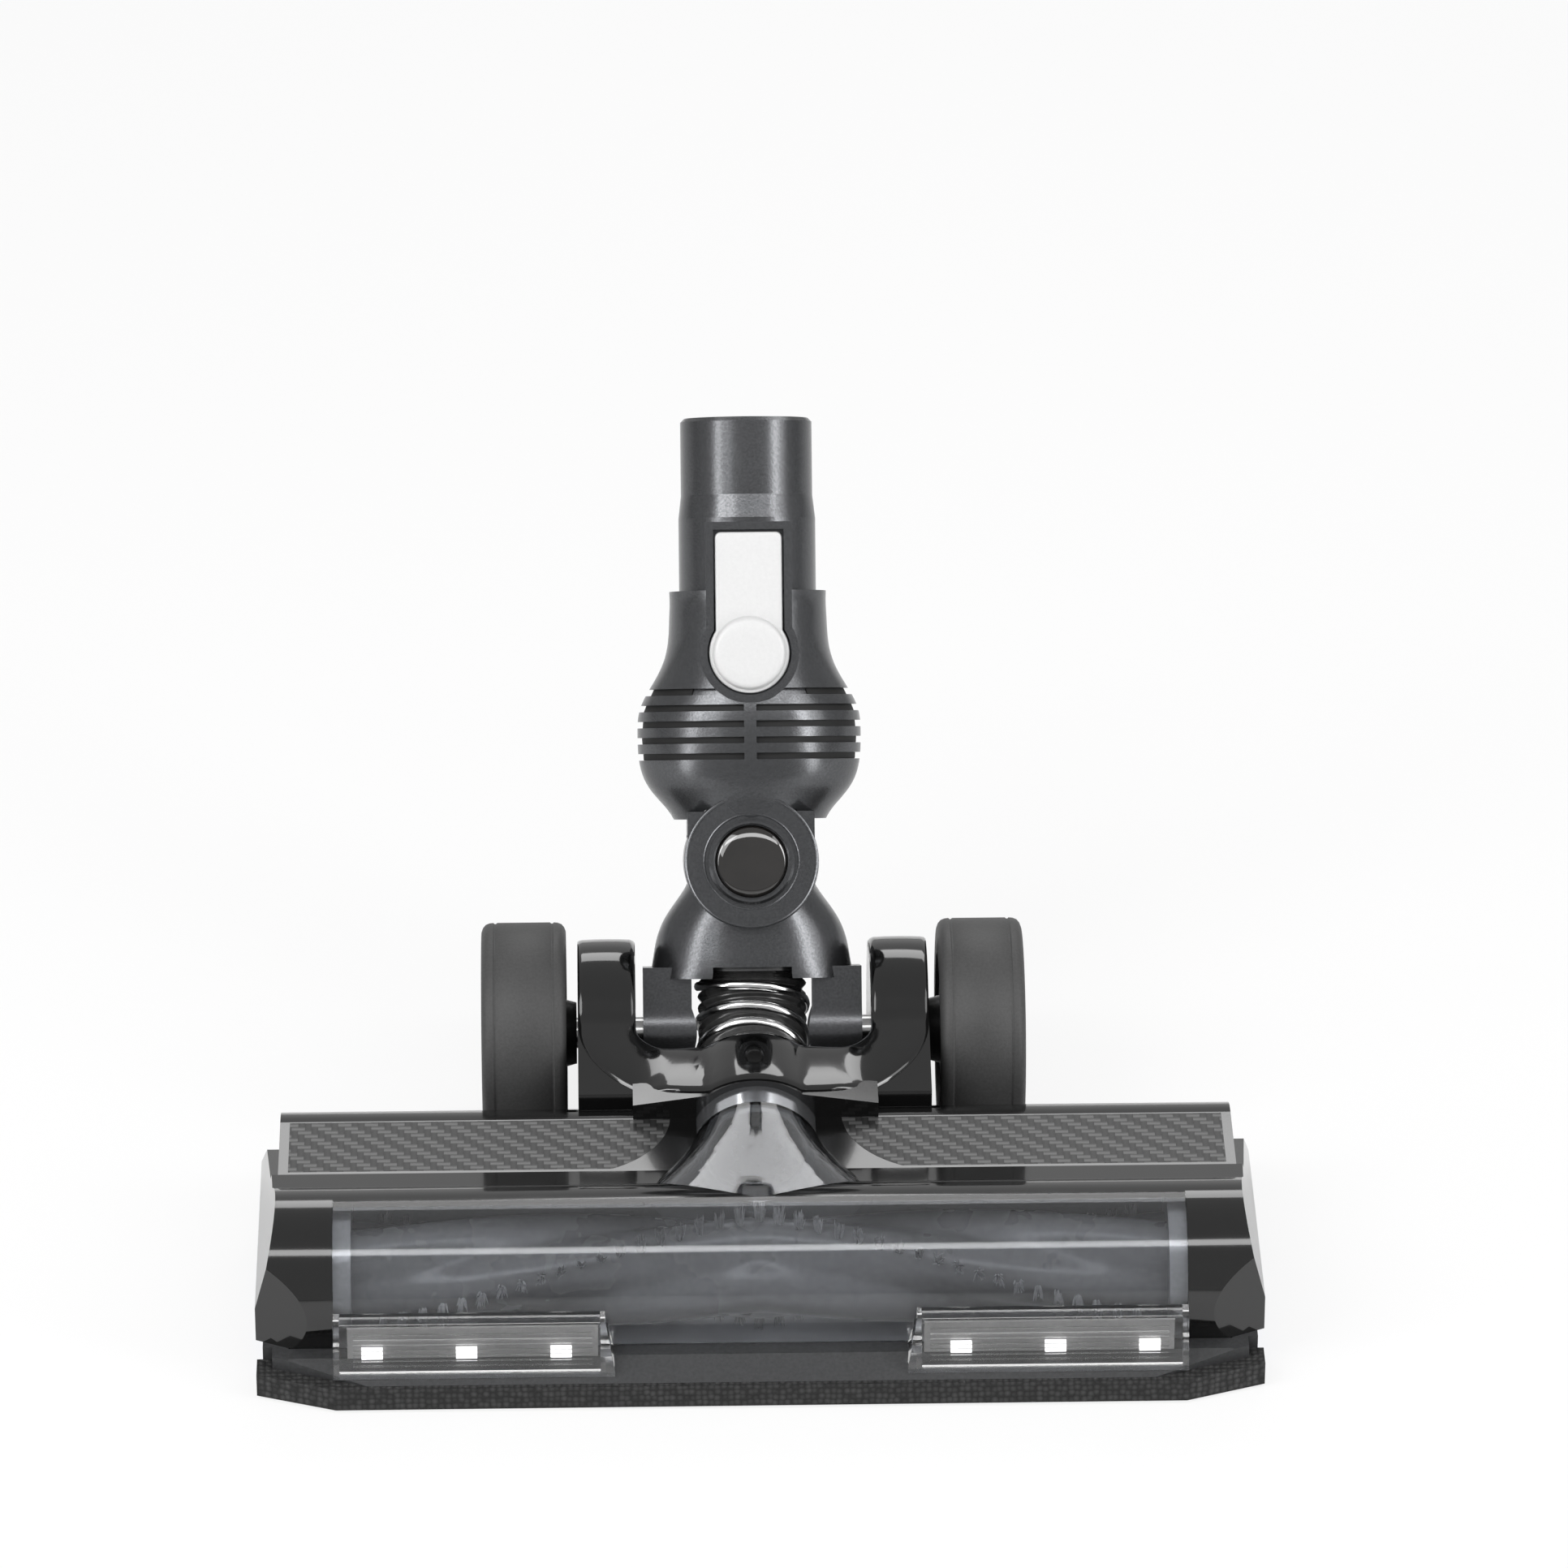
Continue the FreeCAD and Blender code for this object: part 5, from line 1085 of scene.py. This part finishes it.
def lens_ribs():
    """Fine ribs across the inside of each lamp lens, stepping up and back."""
    for name, side in SIDES:
        low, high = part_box(name + "_lamp_board")
        ends = (low.x * 1000 + LENS_RIB_INSET, high.x * 1000 - LENS_RIB_INSET)
        shape = bmesh.new()
        for row in range(LENS_RIBS):
            y = LENS_RIB_Y + LENS_RIB_STEP_Y * row
            z = LENS_RIB_Z + LENS_RIB_STEP_Z * row
            rings = []
            for x in ends:
                rings.append(add_row(shape, [
                    (x, y + LENS_RIB_RADIUS * math.cos(turn),
                     z + LENS_RIB_RADIUS * math.sin(turn)) for turn in full_turn(6)]))
            capped_faces(shape, rings)
        add_shape(name + "_lens_ribs", shape, HEAD_FRAME, "head", "lamp_clear")


hose()
brush_core()
bristles()
felt_pile()
felt_backing()
screws()
swivel()
grille_floors()
release_button()
wheels()
saddle()
blank_sticker()
lens_ribs()


# Floor, light and camera
FLOOR_REACH = 6.0
FLOOR_GLOW = 0.82
FLOOR_SHADES = ((0.86, 0.86, 0.86, 1), (0.9, 0.9, 0.9, 1))
ROOM_STRENGTH = 0.26
MIRRORED_SHARE = 0.35
WHITE = (1, 1, 1, 1)


def floor():
    """Pale floor, bright to the camera and clear from below."""
    mesh = bpy.data.meshes.new("floor")
    corners = [(x * FLOOR_REACH, y * FLOOR_REACH, 0)
               for x, y in ((-1, -1), (1, -1), (1, 1), (-1, 1))]
    mesh.from_pydata(corners, [], [(0, 1, 2, 3)])
    material = bpy.data.materials.new("pale floor")
    material.use_nodes = True
    tree = Tree(material.node_tree)
    place = tree.add("ShaderNodeTexCoord").outputs["Object"]
    mottle = tree.add("ShaderNodeTexNoise", {"Vector": place, "Scale": 3.0})
    colour = tree.blend(mottle.outputs[0], *FLOOR_SHADES)
    matte = tree.add("ShaderNodeBsdfDiffuse", {"Color": colour})
    bright = tree.add("ShaderNodeEmission", {"Color": WHITE, "Strength": 1.0})
    ray = tree.add("ShaderNodeLightPath").outputs
    glow = tree.mix_shaders(tree.math("MULTIPLY", ray["Is Camera Ray"], FLOOR_GLOW),
                            matte, bright)
    # Shadow rays pass too, so that light from below reaches the underside
    below = tree.math("MAXIMUM", ray["Is Shadow Ray"],
                      tree.add("ShaderNodeNewGeometry").outputs["Backfacing"])
    through = tree.add("ShaderNodeBsdfTransparent")
    sided = tree.mix_shaders(below, glow, through)
    tree.add("ShaderNodeOutputMaterial", {"Surface": sided.outputs[0]})
    mesh.materials.append(material)
    plane = bpy.data.objects.new("floor", mesh)
    scene.collection.objects.link(plane)


def room_light():
    """Dim room that the camera and clear plastic see as a white backdrop."""
    world = bpy.data.worlds.new("studio")
    world.use_nodes = True
    tree = Tree(world.node_tree)
    room, backdrop = [
        tree.add("ShaderNodeBackground", {"Color": WHITE, "Strength": strength})
        for strength in (ROOM_STRENGTH, 1.0)]
    ray = tree.add("ShaderNodeLightPath").outputs
    seen = tree.math("MAXIMUM", ray["Is Camera Ray"], ray["Is Transmission Ray"])
    mirrored = tree.math("MULTIPLY", ray["Is Glossy Ray"], MIRRORED_SHARE)
    mix = tree.mix_shaders(tree.math("MAXIMUM", seen, mirrored), room, backdrop)
    tree.add("ShaderNodeOutputWorld", {"Surface": mix.outputs[0]})
    scene.world = world


def place_object(name, data, spot, direction):
    """Light or camera at a spot, facing along a direction."""
    holder = bpy.data.objects.new(name, data)
    scene.collection.objects.link(holder)
    holder.location = spot
    holder.rotation_mode = "QUATERNION"
    holder.rotation_quaternion = direction.to_track_quat("-Z", "Y")
    return holder


def softbox(name, spot, aim, width, height, power):
    """Rectangular lamp at a spot, turned to its aim."""
    lamp = bpy.data.lights.new(name, "AREA")
    lamp.shape = "RECTANGLE"
    lamp.size = width
    lamp.size_y = height
    lamp.energy = power
    place_object(name, lamp, spot, Vector(aim) - Vector(spot))


# Name, spot, aim, width, height and power
SOFTBOXES = (
    ("key light", (-0.75, -0.55, 1.05), (0, 0, 0.03), 0.7, 0.7, 6.0),
    ("fill light", (0.95, -0.35, 0.8), (0, 0, 0.03), 0.5, 0.9, 3.5),
    ("back light", (0.1, 1.0, 0.9), (0, 0, 0.05), 1.1, 0.4, 4.5),
    ("band light", (0, -0.62, 1.05), (0, -0.08, 0.03), 1.5, 0.16, 4.5),
    ("under light", (0, -0.25, -0.8), (0, 0, 0), 1.0, 0.7, 4.0),
    ("left strip", (-0.8, -0.45, 0.35), (0, 0.05, 0.1), 0.16, 0.9, 3.0),
    ("right strip", (0.8, -0.45, 0.35), (0, 0.05, 0.1), 0.16, 0.9, 3.0),
)
CAMERA_RISE = math.radians(31.0)
CAMERA_SWING = math.radians(-1.2)
CAMERA_DISTANCE = 2.5
CAMERA_AIM = (0.009, 0.0505, 0.0843)
PIXELS_PER_METRE = 4710.0
PHOTO_SIDE = 1932
SENSOR = 36.0


def camera():
    """Long lens that frames the head as the photograph does."""
    data = bpy.data.cameras.new("camera")
    data.sensor_width = SENSOR
    data.lens = SENSOR * PIXELS_PER_METRE * CAMERA_DISTANCE / PHOTO_SIDE
    data.clip_end = 50
    back = Vector((math.sin(CAMERA_SWING) * math.cos(CAMERA_RISE),
                   -math.cos(CAMERA_SWING) * math.cos(CAMERA_RISE),
                   math.sin(CAMERA_RISE)))
    spot = Vector(CAMERA_AIM) + back * CAMERA_DISTANCE
    scene.camera = place_object("camera", data, spot, -back)


floor()
room_light()
for box in SOFTBOXES:
    softbox(*box)
camera()
scene.view_settings.view_transform = "Standard"
